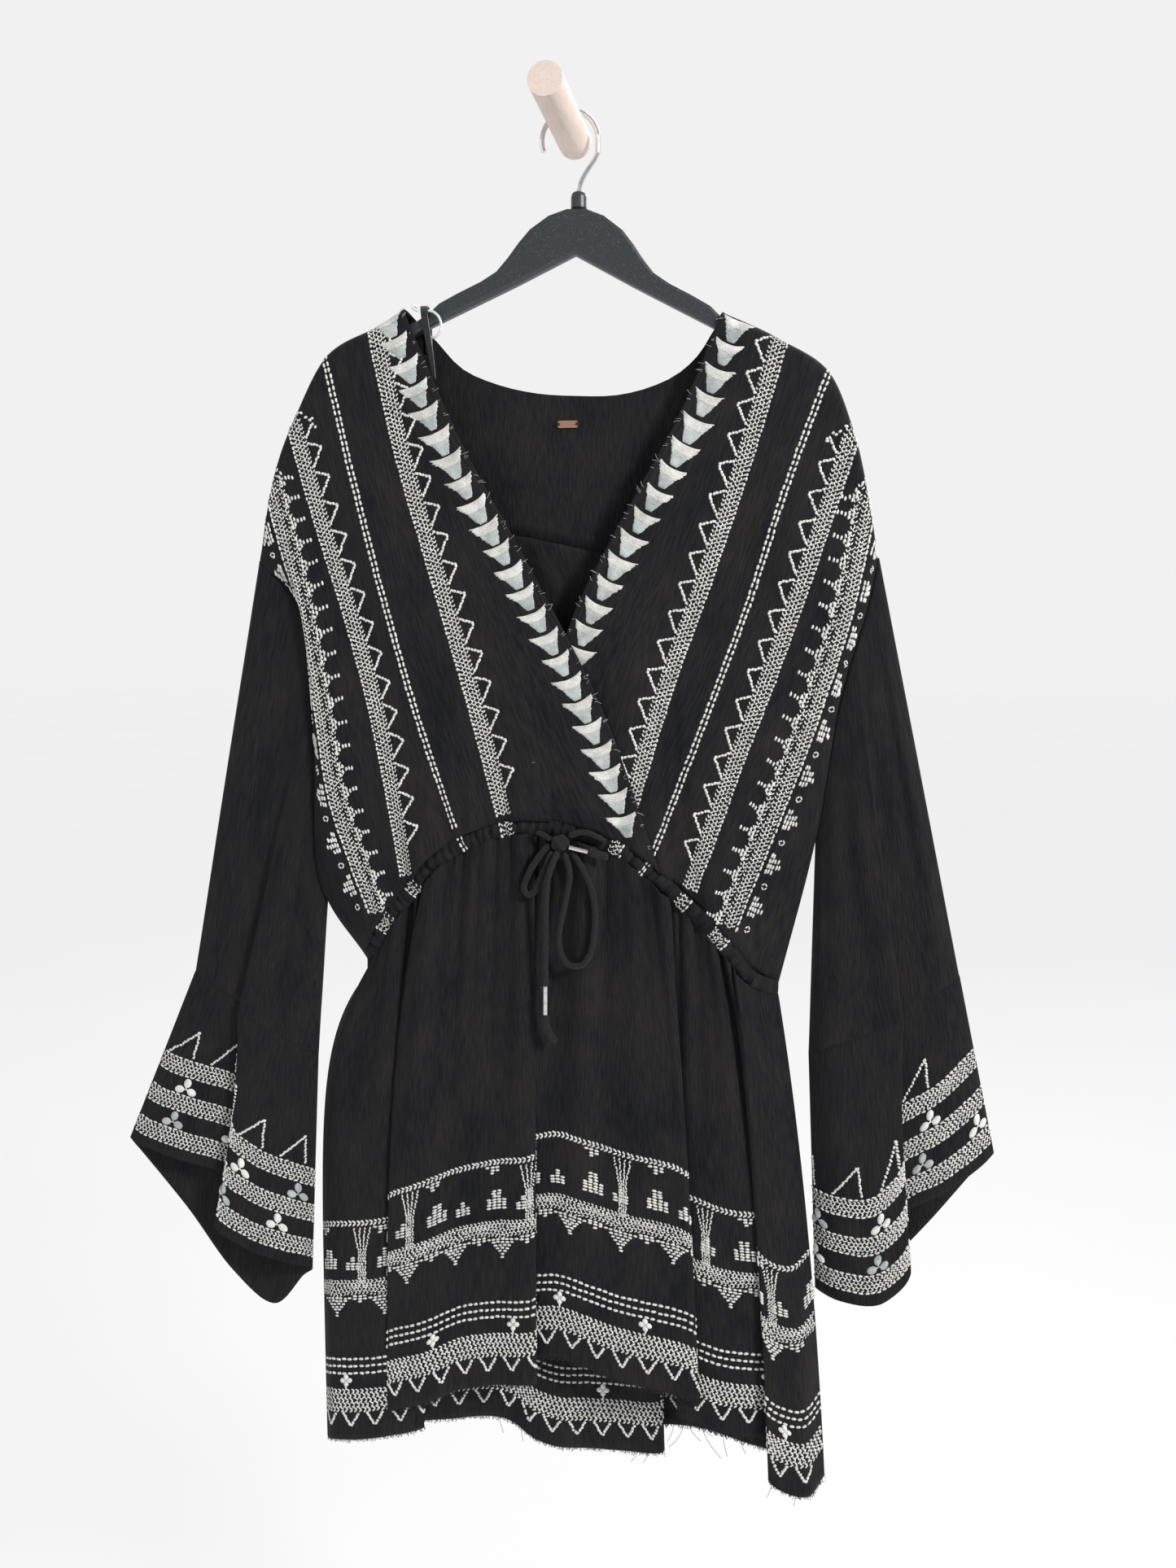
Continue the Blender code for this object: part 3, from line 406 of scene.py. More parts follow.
backNeck = rowsOf(
    "x z", (-200, -162), (-155, -139), (-134, -126), (-113, -147), (-90, -171), (-61, -184),
    (-32, -191), (2, -194), (35, -194), (59, -189), (82, -179), (98, -165), (109, -148),
    (116.5, -136.5), (160, -157.5), (198, -183),
)
yokeSeam = curveOf(rowsOf(
    "x z", (-254, -306), (-150, -300), (-49, -303), (23, -317), (140, -322), (236, -318)
))
fallLeft = curveOf(rowsOf("x z", (-200, -162), (-225, -208), (-243, -252), (-254, -306)))
fallRight = curveOf(rowsOf("x z", (198, -183), (217, -226), (228, -268), (236, -318)))
neckRuns = [curveOf(backNeck[:3]), curveOf(backNeck[2:-2]), curveOf(backNeck[-3:])]
neckEnds = (0.0, 0.22, 0.78, 1.0)


def pairOf(curve, t):
    return np.array([readCurve(curve, "x", t), readCurve(curve, "z", t)])


def onNeck(t):
    # the yoke's top edge, its two corners at the neck kept sharp
    t = np.asarray(t, float)
    found = np.zeros((2, len(t)))
    for low, high, run in zip(neckEnds, neckEnds[1:], neckRuns):
        inside = (t >= low) & (t < high) if high < 1 else t >= low
        found[:, inside] = pairOf(run, (t[inside] - low) / (high - low))
    return found


def betweenEdges(top, foot, left, right, u, v):
    across = (1 - v) * top(u) + v * foot(u)
    down = (1 - u) * left(v) + u * right(v)
    ends = np.array([0.0, 1.0])
    a, b = top(ends), foot(ends)
    upper, lower = mix(a[:, :1], a[:, 1:], u), mix(b[:, :1], b[:, 1:], u)
    return across + down - mix(upper, lower, v)


def sideFade(u, width):
    return eased(fromEnds(u) * width, cloth["sideRound"])


def yoke(u, v):
    drop = np.array([[0], [cloth["seam"]]])
    x, z = betweenEdges(
        onNeck, lambda t: pairOf(yokeSeam, t) + drop,
        lambda t: pairOf(fallLeft, t), lambda t: pairOf(fallRight, t), u, v,
    )
    left, right = neckEnds[1:3]
    fromSeam = eased(v * cloth["yokeLong"], cloth["shoulderRound"])
    fromCorner = eased(np.minimum(np.abs(u - left), np.abs(right - u)) * 1000, cloth["shoulderRound"])
    fromTop = np.where((u > left) & (u < right), np.maximum(fromCorner, fromSeam), fromSeam)
    depth = cloth["edgeDepth"] - cloth["backSwell"] * fromTop * sideFade(u, cloth["yokeWide"])
    return x, depth - cloth["join"] + 0.25 * swell(x, z) * v * (1 - v) * 4, z


def backEdge(panel, seamEnd, w, t):
    edge = np.array(panelEdge(panel, t))
    start, end = np.array(panelEdge(panel, np.array([0.0, 1.0]))).T
    top = np.array(seamEnd) - (0, cloth["seam"]) - start
    foot = np.array(waistPoint(waistBack, w, casingEdge)) - end
    return edge + top[:, None] * (1 - t) ** 8 + foot[:, None] * t**12


def backBodice(u, v):
    drop = np.array([[0], [cloth["seam"]]])
    ends = pairOf(yokeSeam, np.array([0.0, 1.0])).T
    x, z = betweenEdges(
        lambda t: pairOf(yokeSeam, t) - drop,
        lambda t: np.array(waistPoint(waistBack, t, casingEdge)),
        lambda t: backEdge(fronts["left"], ends[0], 0.0, t),
        lambda t: backEdge(fronts["right"], ends[1], 1.0, t),
        u, v,
    )
    underarm = np.where(u < 0.5, fronts["left"]["underarm"], fronts["right"]["underarm"])
    edge = cloth["edgeDepth"] - 8.0 * armholeSwell(v, underarm) - cloth["join"]
    flat = cloth["edgeDepth"] - cloth["backSwell"] - 1.5 * v
    ripple = 1.3 * waves(16, u) * (1 - v) ** 2 * np.minimum(1, v * 8)
    loose = 0.6 * swell(x, z) * np.minimum(1, v * 5) * np.minimum(1, (1 - v) * 6)
    return x, mix(edge, flat + ripple + loose, sideFade(u, cloth["backWide"])), z


def casingShape(line, out, puff, slack, pucker):
    def shape(u, v):
        low = cloth["casingEnd"] + u * (1 - 2 * cloth["casingEnd"])
        x, z = waistPoint(line, low, mix(cloth["casingHalf"], -cloth["casingHalf"], v))
        pulls = np.sin(u * 410 + 2.2 * np.sin(u * 37) + 2.5 * v) + 0.7 * np.sin(u * 233 + 1 - 2 * v)
        pulls = pulls * np.minimum(1, fromEnds(u) * 30)
        middle = np.sin(np.pi * v)
        depth = casingDepth(low, out) + puff * middle + pucker * pulls * (0.35 + 0.65 * middle)
        return x, depth + slack, z + 0.35 * pulls * (0.5 - v)

    return shape


# turns of the cloth at the hem, left side seam to right; w is the place on the casing, flare how
# fast it spreads below it
turnNames = "w x z flare top hem"
skirtFront = rowsOf(
    turnNames,
    (0, -220, -1088, 8, 16, 16), (0.04, -212, -1083, 7, 25, 26),
    (0.12, -175, -1076, 4, 31, 32), (0.17, -130, -1065, 3, 30, 24),
    (0.2, -160, -1052, 3, 33, 32), (0.27, -122, -1035, 2.5, 33, 38),
    (0.33, -97, -1025, 2, 30, 31), (0.39, -66, -1016, 1.5, 33, 36),
    (0.45, -29, -1007, 1, 33, 38), (0.47, -44, -998, 1, 31, 29),
    (0.5, -18, -990, 1, 32, 32), (0.6, 36, -1001, 1, 33, 38),
    (0.73, 107, -1019, 1, 33, 38), (0.75, 90, -1032, 1, 31, 28),
    (0.81, 122, -1045, 1, 32, 31), (0.89, 190, -1060, 1, 29, 25),
    (0.91, 167, -1082, 1, 32, 34), (0.96, 200, -1094, 1, 26, 34),
    (1, 213, -1084, 1, 16, 20),
)
skirtBack = rowsOf(
    turnNames,
    (0, -220, -1088, 8, 16, 16), (0.05, -205, -1085, 7, 8, 8),
    (0.15, -160, -1078, 4, 6, 4), (0.25, -112, -1068, 2.5, 7, 11),
    (0.36, -64, -1066, 1.5, 6, 4.5), (0.46, -28, -1083, 1, 7, 10),
    (0.55, 15, -1088, 1, 6, 5), (0.66, 77, -1076, 1, 7, 13),
    (0.7, 60, -1066, 1, 6, 6), (0.77, 100, -1060, 1, 6, 4.5),
    (0.86, 145, -1068, 1, 7, 10), (0.95, 198, -1084, 1, 7, 7),
    (1, 213, -1084, 1, 16, 19.5),
)


def skirtShape(rows, line, gathers, depthOfGathers, slack, finer):
    turns = curveOf(rows, "x z hem")

    def shape(u, v):
        w = np.clip(readCurve(turns, "w", u), 0, 1)
        xTop, zTop = waistPoint(line, w, -casingEdge)
        flare = np.maximum(readCurve(turns, "flare", u), 0.9)
        opened = (np.exp(-flare * v) - np.exp(-flare)) / (1 - np.exp(-flare))
        x, z = mix(readCurve(turns, "x", u), xTop, opened), mix(zTop, readCurve(turns, "z", u), v)
        depth = mix(readCurve(turns, "top", u), readCurve(turns, "hem", u), v)
        away = np.minimum(1.0, fromEnds(u) * 14)
        ripple = depthOfGathers * waves(gathers, u) * (1 - v) ** 1.5
        fine = np.sin(2 * np.pi * (finer * u + 0.4 * waves(3, u)) + 2 * v) * (1 - v) ** 2.2
        tiny = waves(2.3 * finer, u, 1.7) * np.exp(-v * 14)
        broad = np.sin(2 * np.pi * (11 * u + 0.45 * waves(2, u, 1)) + 1.4 * v) * np.exp(-2.2 * v)
        loose = 0.7 * np.sin(z / 67 + 9 * u) * np.sin(31 * u + z / 190) * np.minimum(1, v * 5)
        folded = depth + (ripple + 3.0 * broad + 1.3 * fine + 0.7 * tiny + 1.8 * loose) * away + slack
        return x, np.maximum(folded, cloth["offWall"]), z

    return shape


# rings of the sleeves, once round from the outer fold over the front
ringNames = "a x z depth"
rings = {
    "seamLeft": rowsOf(
        ringNames,
        (0, -328, -671, 16), (0.09, -314, -680, 22), (0.18, -292, -692, 21), (0.22, -279, -697, 22),
        (0.26, -286, -701, 28), (0.35, -258, -716, 28), (0.44, -232, -732, 25), (0.5, -221, -738, 17),
        (0.58, -234, -737, 8), (0.75, -275, -722, 6), (0.92, -318, -688, 8),
    ),
    "hemLeft": rowsOf(
        ringNames,
        (0, -394, -824, 15), (0.07, -380, -827, 22), (0.15, -345, -837, 24), (0.22, -301, -850, 21),
        (0.25, -290, -858, 22), (0.28, -300, -873, 28), (0.31, -311, -889, 33), (0.36, -290, -906, 34),
        (0.44, -250, -921, 31), (0.5, -232, -932, 17), (0.57, -243, -945, 8), (0.66, -269, -973, 6),
        (0.77, -308, -943, 7), (0.88, -350, -886, 6), (0.96, -387, -838, 9),
    ),
    "seamRight": rowsOf(
        ringNames,
        (0, 310, -653, 16), (0.09, 298, -662, 22), (0.18, 274, -673, 21), (0.22, 258, -680, 22),
        (0.26, 266, -685, 28), (0.35, 240, -698, 28), (0.44, 206, -714, 25), (0.5, 194, -720, 16),
        (0.58, 208, -722, 8), (0.75, 250, -702, 6), (0.92, 298, -668, 8),
    ),
    "hemRight": rowsOf(
        ringNames,
        (0, 342, -798, 14), (0.07, 330, -808, 22), (0.14, 303, -830, 24), (0.21, 272, -850, 21),
        (0.24, 260, -862, 22), (0.27, 267, -878, 28), (0.3, 277, -892, 33), (0.36, 258, -921, 33),
        (0.44, 222, -926, 26), (0.5, 204, -924, 11), (0.58, 216, -926, 5), (0.7, 246, -918, 5),
        (0.82, 290, -868, 6), (0.94, 332, -812, 8),
    ),
}


def readRing(name, column, a):
    rows = rings[name]
    wrapped = rows[-3:] + rows + rows[:3]
    turns = [-1] * 3 + [0] * len(rows) + [1] * 3
    knots = [row["a"] + turn for row, turn in zip(wrapped, turns)]
    return smoothRun(knots, [row[column] for row in wrapped], a % 1.0)


def sleeveShape(panel, ring):
    def shape(u, v):
        down = np.where(u <= 0.5, 2 * u, 2 * (1 - u))
        t = down * panel["underarm"]
        x, z = panelEdge(panel, t)
        aheadX, aheadZ = panelEdge(panel, t + 0.01)
        behindX, behindZ = panelEdge(panel, np.maximum(t - 0.01, 0))
        dx, dz = aheadX - behindX, aheadZ - behindZ
        away = panel["side"] / np.hypot(dx, dz)
        arch = np.where((down > 0) & (down < 1), np.abs(np.sin(np.pi * down)) ** 0.5, 0.0)
        depth0 = cloth["edgeDepth"] + np.where(u <= 0.5, 6.0, -8.0) * arch
        depth = mix(depth0, readRing(ring, "depth", u), v**0.8)
        hang = np.sin(np.pi * v) ** 2 * (1.5 * waves(5, u) + 0.8 * waves(13, u, 2 * v))
        rounded = 2.5 * np.sin(np.pi * v) * waves(1, u)
        x1, z1 = readRing(ring, "x", u), readRing(ring, "z", u) + cloth["seam"] * cloth["seamDrop"]
        x, z = mix(x - dz * away, x1, v), mix(z + dx * away, z1, v)
        loose = 0.7 * np.sin(np.pi * v) * swell(x, z) * np.abs(waves(1, u))
        return x, depth + hang + rounded + loose, z

    return shape


def cuffShape(seam, hem):
    def shape(u, v):
        x, depth, z = (mix(readRing(seam, c, u), readRing(hem, c, u), v) for c in ("x", "depth", "z"))
        return x, depth, z - cloth["seam"] * cloth["seamDrop"] * (1 - v)

    return shape


# sheets of cloth from those shapes


def between(knots, count):
    steps = [np.linspace(low, high, count + 1)[:-1] for low, high in zip(knots, knots[1:])]
    return np.concatenate(steps + [[knots[-1]]])


def layGrid(shape, us, vs):
    u, v = np.meshgrid(us, vs)
    x, depth, z = shape(u.ravel(), v.ravel())
    return np.stack([x, -depth, z], axis=1).reshape(len(vs), len(us), 3) * mm


def slopesOf(grid, closed):
    if closed:
        wide = np.concatenate([grid[:, -2:-1], grid, grid[:, 1:2]], axis=1)
        return np.gradient(wide, axis=1)[:, 1:-1], np.gradient(grid, axis=0)
    return np.gradient(grid, axis=1), np.gradient(grid, axis=0)


def unit(vectors):
    return vectors / np.maximum(np.linalg.norm(vectors, axis=-1, keepdims=True), 1e-12)


def meshFrom(name, points, faces, materials):
    mesh = bpy.data.meshes.new(name)
    mesh.from_pydata(points.tolist(), [], [list(face) for face in faces])
    for material in materials:
        mesh.materials.append(material)
    mesh.shade_smooth()
    piece = bpy.data.objects.new(name, mesh)
    bpy.context.scene.collection.objects.link(piece)
    return piece


def tubeFaces(rings, sides):
    found = []
    for row in range(rings - 1):
        for k in range(sides):
            a, b = row * sides + k, row * sides + (k + 1) % sides
            found.append((a, b, b + sides, a + sides))
    return found


def makeCloth(name, shape, us, vs, facing, closed=False, wall=None, material=None):
    # facing is 1 where the outer side is on the left of u as v runs down, else -1
    grid = layGrid(shape, us, vs)
    across, down = slopesOf(grid, closed)
    normal = unit(np.cross(down, across)) * facing
    if closed:
        normal[:, -1] = normal[:, 0]
    half = (wall or cloth["wall"]) * mm / 2
    rows, columns = grid.shape[:2]
    used = columns - 1 if closed else columns
    points = np.concatenate([(grid + normal * half)[:, :used], (grid - normal * half)[:, :used]])
    points = points.reshape(-1, 3)
    corners = np.meshgrid(np.arange(rows - 1), np.arange(columns - 1), indexing="ij")
    r, c = (corner.ravel() for corner in corners)
    cornersR, cornersC = np.stack([r, r + 1, r + 1, r], 1), np.stack([c, c, c + 1, c + 1], 1)
    if facing < 0:
        cornersR, cornersC = cornersR[:, ::-1], cornersC[:, ::-1]
    outer = (cornersR, cornersC, np.zeros_like(cornersR))
    inner = (cornersR[:, ::-1], cornersC[:, ::-1], np.ones_like(cornersR))
    sides = [outer, inner]

    def rim(rowA, colA, rowB, colB):
        # a strip that joins the outer edge from A to B with the inner one
        rr, cc = np.stack([rowA, rowA, rowB, rowB], 1), np.stack([colA, colA, colB, colB], 1)
        layer = np.tile([0, 1, 1, 0], (len(rr), 1))
        if facing < 0:
            rr, cc, layer = rr[:, ::-1], cc[:, ::-1], layer[:, ::-1]
        sides.append((rr, cc, layer))

    k, zero = np.arange(columns - 1), np.zeros(columns - 1, int)
    rim(zero, k + 1, zero, k)
    rim(zero + rows - 1, k, zero + rows - 1, k + 1)
    if not closed:
        k, zero = np.arange(rows - 1), np.zeros(rows - 1, int)
        rim(k, zero, k + 1, zero)
        rim(k + 1, zero + columns - 1, k, zero + columns - 1)
    rr, cc, layer = (np.concatenate(part) for part in zip(*sides))
    faces = layer * rows * used + rr * used + cc % used
    piece = meshFrom(name, points, faces.tolist(), [material or looks["blackCrepe"]])
    steps = np.linalg.norm(np.diff(grid, axis=1), axis=2).mean(axis=0)
    widths = np.concatenate([[0], np.cumsum(steps)])
    steps = np.linalg.norm(np.diff(grid, axis=0), axis=2).mean(axis=1)
    lengths = np.concatenate([[0], np.cumsum(steps)])
    weave = piece.data.uv_layers.new(name="weave")
    spots = np.stack([widths[cc], lengths[rr]], axis=-1)
    weave.data.foreach_set("uv", spots.astype(np.float32).ravel())
    area = np.linalg.norm(np.cross(down, across), axis=2)[:-1, :-1].sum()
    print(name, "area, width and length", *(round(float(m), 4) for m in (area, widths[-1], lengths[-1])))
    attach(piece, "root")
    surface = {"grid": grid, "normal": normal, "across": across, "down": down}
    return piece, {**surface, "closed": closed, "half": half}


# where the grids' main columns and rows lie
panelColumns = [0, 0.05, 0.12, 0.2, 0.28, 0.36, 0.45, 0.54, 0.63, 0.72, 0.8, 0.87, 0.92, 0.955, 0.98, 1]
panelRows = [0, 0.0025, 0.006, 0.012, 0.024, 0.06, 0.12, 0.19, 0.27, 0.35, 0.43, 0.51, 0.59, 0.67, 0.75]
panelRows += [0.8, 0.86, 0.93, 1]
yokeHalf = [0, 0.008, 0.02, 0.045, 0.09, 0.14, 0.18, 0.205, 0.22, 0.224, 0.231, 0.245, 0.27, 0.32, 0.38]
yokeHalf += [0.44, 0.5]
yokeColumns = yokeHalf + [1 - u for u in reversed(yokeHalf[:-1])]
yokeRows = [0, 0.006, 0.015, 0.03, 0.06, 0.15, 0.35, 0.65, 1]
aroundSleeve = [0, 0.035, 0.07, 0.11, 0.15, 0.18, 0.21, 0.235, 0.26, 0.285, 0.31, 0.35, 0.4, 0.44, 0.47]
aroundSleeve += [0.5, 0.53, 0.57, 0.61, 0.66, 0.71, 0.77, 0.82, 0.88, 0.92, 0.96, 1]
casingEnds = [0, 0.006, 0.015, 0.03]
around = np.concatenate([casingEnds, np.linspace(0.04, 0.96, 420), [1 - w for w in reversed(casingEnds)]])
surfaces, pieces = {}, {}


def sew(name, node, *args, **more):
    pieces[name], surfaces[name] = makeCloth(name, *args, **more)
    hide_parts(node)


for side, facing in (("left", -1), ("right", 1)):
    sew(
        "frontPanel" + side.title(), "front_" + side, frontPanel(fronts[side]),
        between(panelColumns, 7), between(panelRows, 7), facing,
    )
sew("backYoke", "back_yoke", yoke, between(yokeColumns, 3), between(yokeRows, 4), -1)
sew("backBodice", "back_bodice", backBodice, between(np.linspace(0, 1, 31), 5), np.linspace(0, 1, 70), -1)
sew(
    "skirtFront", "skirt_front", skirtShape(skirtFront, waistFront, 14, 3.0, cloth["join"], 31),
    between(curveOf(skirtFront, "x z hem")["knots"], 15), np.linspace(0, 1, 96) ** 1.15, 1,
)
sew(
    "skirtBack", "skirt_back", skirtShape(skirtBack, waistBack, 11, 2.0, -cloth["join"], 27),
    between(curveOf(skirtBack, "x z hem")["knots"], 14), np.linspace(0, 1, 70) ** 1.15, -1,
)
for name, node, line, out, puff, pucker, rows, facing in (
    ("casingFront", "casing_front", waistFront, 16.0, 0.8, 1.0, 13, 1),
    ("casingBack", "casing_back", waistBack, -10.0, 0.5, 0.4, 11, -1),
):
    casing = casingShape(line, out, facing * puff * cloth["casingPuff"], facing * cloth["join"], pucker)
    sew(name, node, casing, around, np.linspace(0, 1, rows), facing)
for side, facing in (("left", 1), ("right", -1)):
    seam, hem = "seam" + side.title(), "hem" + side.title()
    sew(
        "sleeve" + side.title(), "sleeve_" + side, sleeveShape(fronts[side], seam),
        between(aroundSleeve, 4), np.linspace(0, 1, 46), facing, closed=True,
    )
    sew(
        "cuff" + side.title(), "cuff_" + side, cuffShape(seam, hem),
        between(aroundSleeve, 6), np.linspace(0, 1, 40), facing, closed=True,
    )
print("cloth pieces laid")

# the satin loop over the hanger's left arm
ribbon = {"width": 6.0, "wall": 0.9}
ribbonRun = curveOf(rowsOf(
    "x z depth", (-117, -158, 8.0), (-117.5, -140, 8.0), (-118, -129, 9.5), (-118, -124.6, 13.0),
    (-118, -124.4, 18), (-117, -129, 22.6), (-115.5, -140, 23.4), (-112, -162, 23.4), (-109.5, -182, 23.4),
), "x depth z")


def ribbonShape(u, v):
    x, depth, z = (readCurve(ribbonRun, name, v) for name in ("x", "depth", "z"))
    return x + (u - 0.5) * ribbon["width"] * mix(1.0, 0.55, v**3), depth, z


pieces["shoulderRibbon"], surfaces["shoulderRibbon"] = makeCloth(
    "shoulderRibbon", ribbonShape, np.linspace(0, 1, 9), np.linspace(0, 1, 80), 1,
    wall=ribbon["wall"], material=looks["blackSatin"],
)
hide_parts("hanging_ribbon")

# the drawstring

cordNames = "x z depth"
cords = {
    "width": 5.2, "sides": 16,
    "loopLeft": rowsOf(
        cordNames, (-15.1, -549, 41), (-20, -554, 42), (-28, -565, 43), (-34, -577, 43), (-36, -585, 43),
        (-33, -590, 43.5), (-28, -588, 44), (-23, -578, 44.5), (-18, -567, 44.5), (-13.2, -554.8, 44.5),
    ),
    "loopRight": rowsOf(
        cordNames, (-2.8, -555.4, 44.5), (1, -570, 44.5), (-1.5, -590, 44), (-5.5, -608, 43.5),
        (-8, -624, 43), (-6, -638, 43), (1, -647, 43), (10, -647, 43), (17, -638, 43), (20.5, -622, 43),
        (21.5, -604, 43), (19, -586, 43), (12.5, -570, 42.5), (2.4, -553.6, 41.5),
    ),
    "endLeft": rowsOf(
        cordNames, (-7.9, -553.8, 47.8), (-11, -561, 49.6), (-15, -573, 50.4), (-17, -590, 49.6),
        (-18, -615, 47.5), (-18.5, -640, 46), (-18.8, -664, 45),
    ),
    "entryLeft": rowsOf(cordNames, (-26.2, -540.3, 38.1), (-20, -541.5, 41), (-14.4, -545, 42)),
    "entryRight": rowsOf(
        cordNames, (29, -546, 38.8), (22, -541.5, 41.2), (11, -538.5, 42.4), (0.2, -542.0, 42.8)
    ),
    "knotLeft": rowsOf(cordNames, (-19.0, -688.35, 44.4), (-18.4, -698, 44.2), (-11, -711, 43.5)),
    "knotRight": rowsOf(cordNames, (16.35, -553.7, 45.2), (24, -555.6, 44.7), (32, -558, 43.6)),
    "bow": {"place": (-6.5, -547.5, 43.2), "size": (7.8, 7.0, 5.0)},
}


def makeCord(part, side, width, ridges, count):
    # a round cord of spun strands: its skin swells and dips along a spiral
    run = curveOf(cords[part + side], "x depth z")
    t = np.linspace(0, 1, count)
    path = np.stack([readCurve(run, "x", t), -readCurve(run, "depth", t), readCurve(run, "z", t)], 1) * mm
    ahead = unit(np.gradient(path, axis=0))
    aside = unit(np.cross(ahead, np.array([0.05, 1.0, 0.03])))
    top = np.cross(aside, ahead)
    length = np.concatenate([[0], np.cumsum(np.linalg.norm(np.diff(path, axis=0), axis=1))])
    sides = cords["sides"]
    turn = np.linspace(0, 2 * np.pi, sides, endpoint=False)
    twist = np.sin(4 * turn[None] + length[:, None] / (width * mm) * 3.2)
    ends = np.minimum(1, np.minimum(np.arange(count), np.arange(count)[::-1]) / 2 * 0.35 + 0.65)
    radius = width * mm / 2 * (0.955 + 0.045 * ridges * twist) * ends[:, None]
    skin = path[:, None] + radius[..., None] * (
        np.cos(turn)[None, :, None] * aside[:, None] + np.sin(turn)[None, :, None] * top[:, None]
    )
    points = np.concatenate([skin.reshape(-1, 3), path[:1], path[-1:]])
    faces = tubeFaces(count, sides)
    first, foot = count * sides, (count - 1) * sides
    for k in range(sides):
        after = (k + 1) % sides
        faces += [(first, after, k), (first + 1, foot + k, foot + after)]
    name = "cord" + part.title() + side
    piece = meshFrom(name, points, faces, [looks["cordCotton"]])
    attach(piece, "root")
    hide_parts(f"cord_{part}_{side.lower()}")
    pieces[name] = piece
    return [tuple(float(c) for c in p) for p in path[::2]], float(length[-1])


cordRuns = {}
for part, side, width, ridges, count in (
    ("entry", "Left", 4.2, 1, 16), ("entry", "Right", 4.7, 1, 28), ("loop", "Left", cords["width"], 1, 90),
    ("loop", "Right", cords["width"], 1, 150), ("end", "Left", cords["width"], 1, 90),
    ("knot", "Left", 6.4, 1.6, 24), ("knot", "Right", 6.4, 1.6, 20),
):
    cordRuns[part.title() + side] = makeCord(part, side, width, ridges, count)
print("cord lengths", *(cordRuns[name][1] for name in ("LoopLeft", "LoopRight", "EndLeft")))

# the bow's knot: a wound lump with the strands passing over it
(placeX, placeZ, placeDepth), (wide, tall, deep) = cords["bow"]["place"], cords["bow"]["size"]
bpy.ops.mesh.primitive_uv_sphere_add(segments=40, ring_count=24, radius=1)
knot = bpy.context.object
knot.name = knot.data.name = "bowKnot"
for vertex in knot.data.vertices:
    x, y, z = vertex.co
    wound = 0.07 * math.cos(6.5 * (x * 0.8 + z * 0.6) + 0.8) + 0.03 * math.cos(17 * (x * 0.6 - z * 0.8))
    grow = 0.93 + wound
    depth = placeDepth - y * grow * deep
    vertex.co = ((placeX + x * grow * wide) * mm, -depth * mm, (placeZ + z * grow * tall) * mm)
knot.data.shade_smooth()
knot.data.materials.append(looks["cordCotton"])
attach(knot, "root")
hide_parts("bow_knot")

# pieces carried over from the frame keep their shape and get their finish
for node, finish in (
    ("wall_peg", "paleBeech"), ("hanger", "moldedPlastic"), ("hook_collar", "moldedPlastic"),
    ("hook", "brightSteel"), ("neck_plate", "rubbedCopper"), ("cord_tip_left", "paleMetal"),
    ("cord_tip_right", "paleMetal"),
):
    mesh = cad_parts[node].data
    mesh.materials.clear()
    mesh.materials.append(looks[finish])
print("fittings finished")

# embroidery: stitches laid along paths on the cloth


def readField(surface, name, row, column):
    field = surface[name]
    rows, columns = field.shape[:2]
    row = np.clip(row, 0, rows - 1.001)
    column = np.mod(column, columns - 1) if surface["closed"] else np.clip(column, 0, columns - 1.001)
    i, j = row.astype(int), column.astype(int)
    s, t = (row - i)[..., None], (column - j)[..., None]
    upper = field[i, j] * (1 - t) + field[i, j + 1] * t
    return upper * (1 - s) + field[i + 1, j + 1] * s * t + field[i + 1, j] * s * (1 - t)


def makePath(surface, row, column, flip=False):
    # a path over a piece of cloth, given by rows and columns of its grid, measured along
    row, column = np.asarray(row, float), np.asarray(column, float)
    if flip:
        row, column = row[::-1], column[::-1]
    points = readField(surface, "grid", row, column)
    length = np.concatenate([[0], np.cumsum(np.linalg.norm(np.diff(points, axis=0), axis=1))])
    return {
        "surface": surface, "row": row, "column": column, "length": length,
        "ahead": unit(np.gradient(points, axis=0)), "total": float(length[-1]) / mm,
    }


def heightRow(surface, above, column):
    # the grid row that lies so many millimetres above the hem, in that column
    if "climb" not in surface:
        steps = np.linalg.norm(np.diff(surface["grid"], axis=0), axis=2) / mm
        left = np.concatenate([np.cumsum(steps[::-1], axis=0)[::-1], np.zeros((1, steps.shape[1]))])
        rows = np.arange(len(left))[::-1]
        surface["climb"] = np.array([np.interp(np.arange(240), run[::-1], rows) for run in left.T]).T
    climb = surface["climb"]
    above, column = np.clip(above, 0, 238.9), np.clip(column, 0, climb.shape[1] - 1.001)
    i, j = above.astype(int), column.astype(int)
    s, t = above - i, column - j
    return mix(mix(climb[i, j], climb[i, j + 1], t), mix(climb[i + 1, j], climb[i + 1, j + 1], t), s)


def walkAside(surface, ahead, row, column, aside, beyond):
    # moves spots off their path in four short steps, by the cloth's own slopes at each
    steps = 4
    for _ in range(steps):
        across, down = readField(surface, "across", row, column), readField(surface, "down", row, column)
        facing = unit(readField(surface, "normal", row, column))
        along = unit(ahead - facing * (ahead * facing).sum(-1, keepdims=True))
        move = (np.cross(facing, along) * aside[..., None] + along * beyond) / steps
        aa, bb, ab = ((p * q).sum(-1) for p, q in ((across, across), (down, down), (across, down)))
        ma, mb = (move * across).sum(-1), (move * down).sum(-1)
        det = np.maximum(aa * bb - ab * ab, 1e-16)
        column = column + np.clip((ma * bb - mb * ab) / det, -9, 9)
        row = row + np.clip((mb * aa - ma * ab) / det, -9, 9)
    return row, column


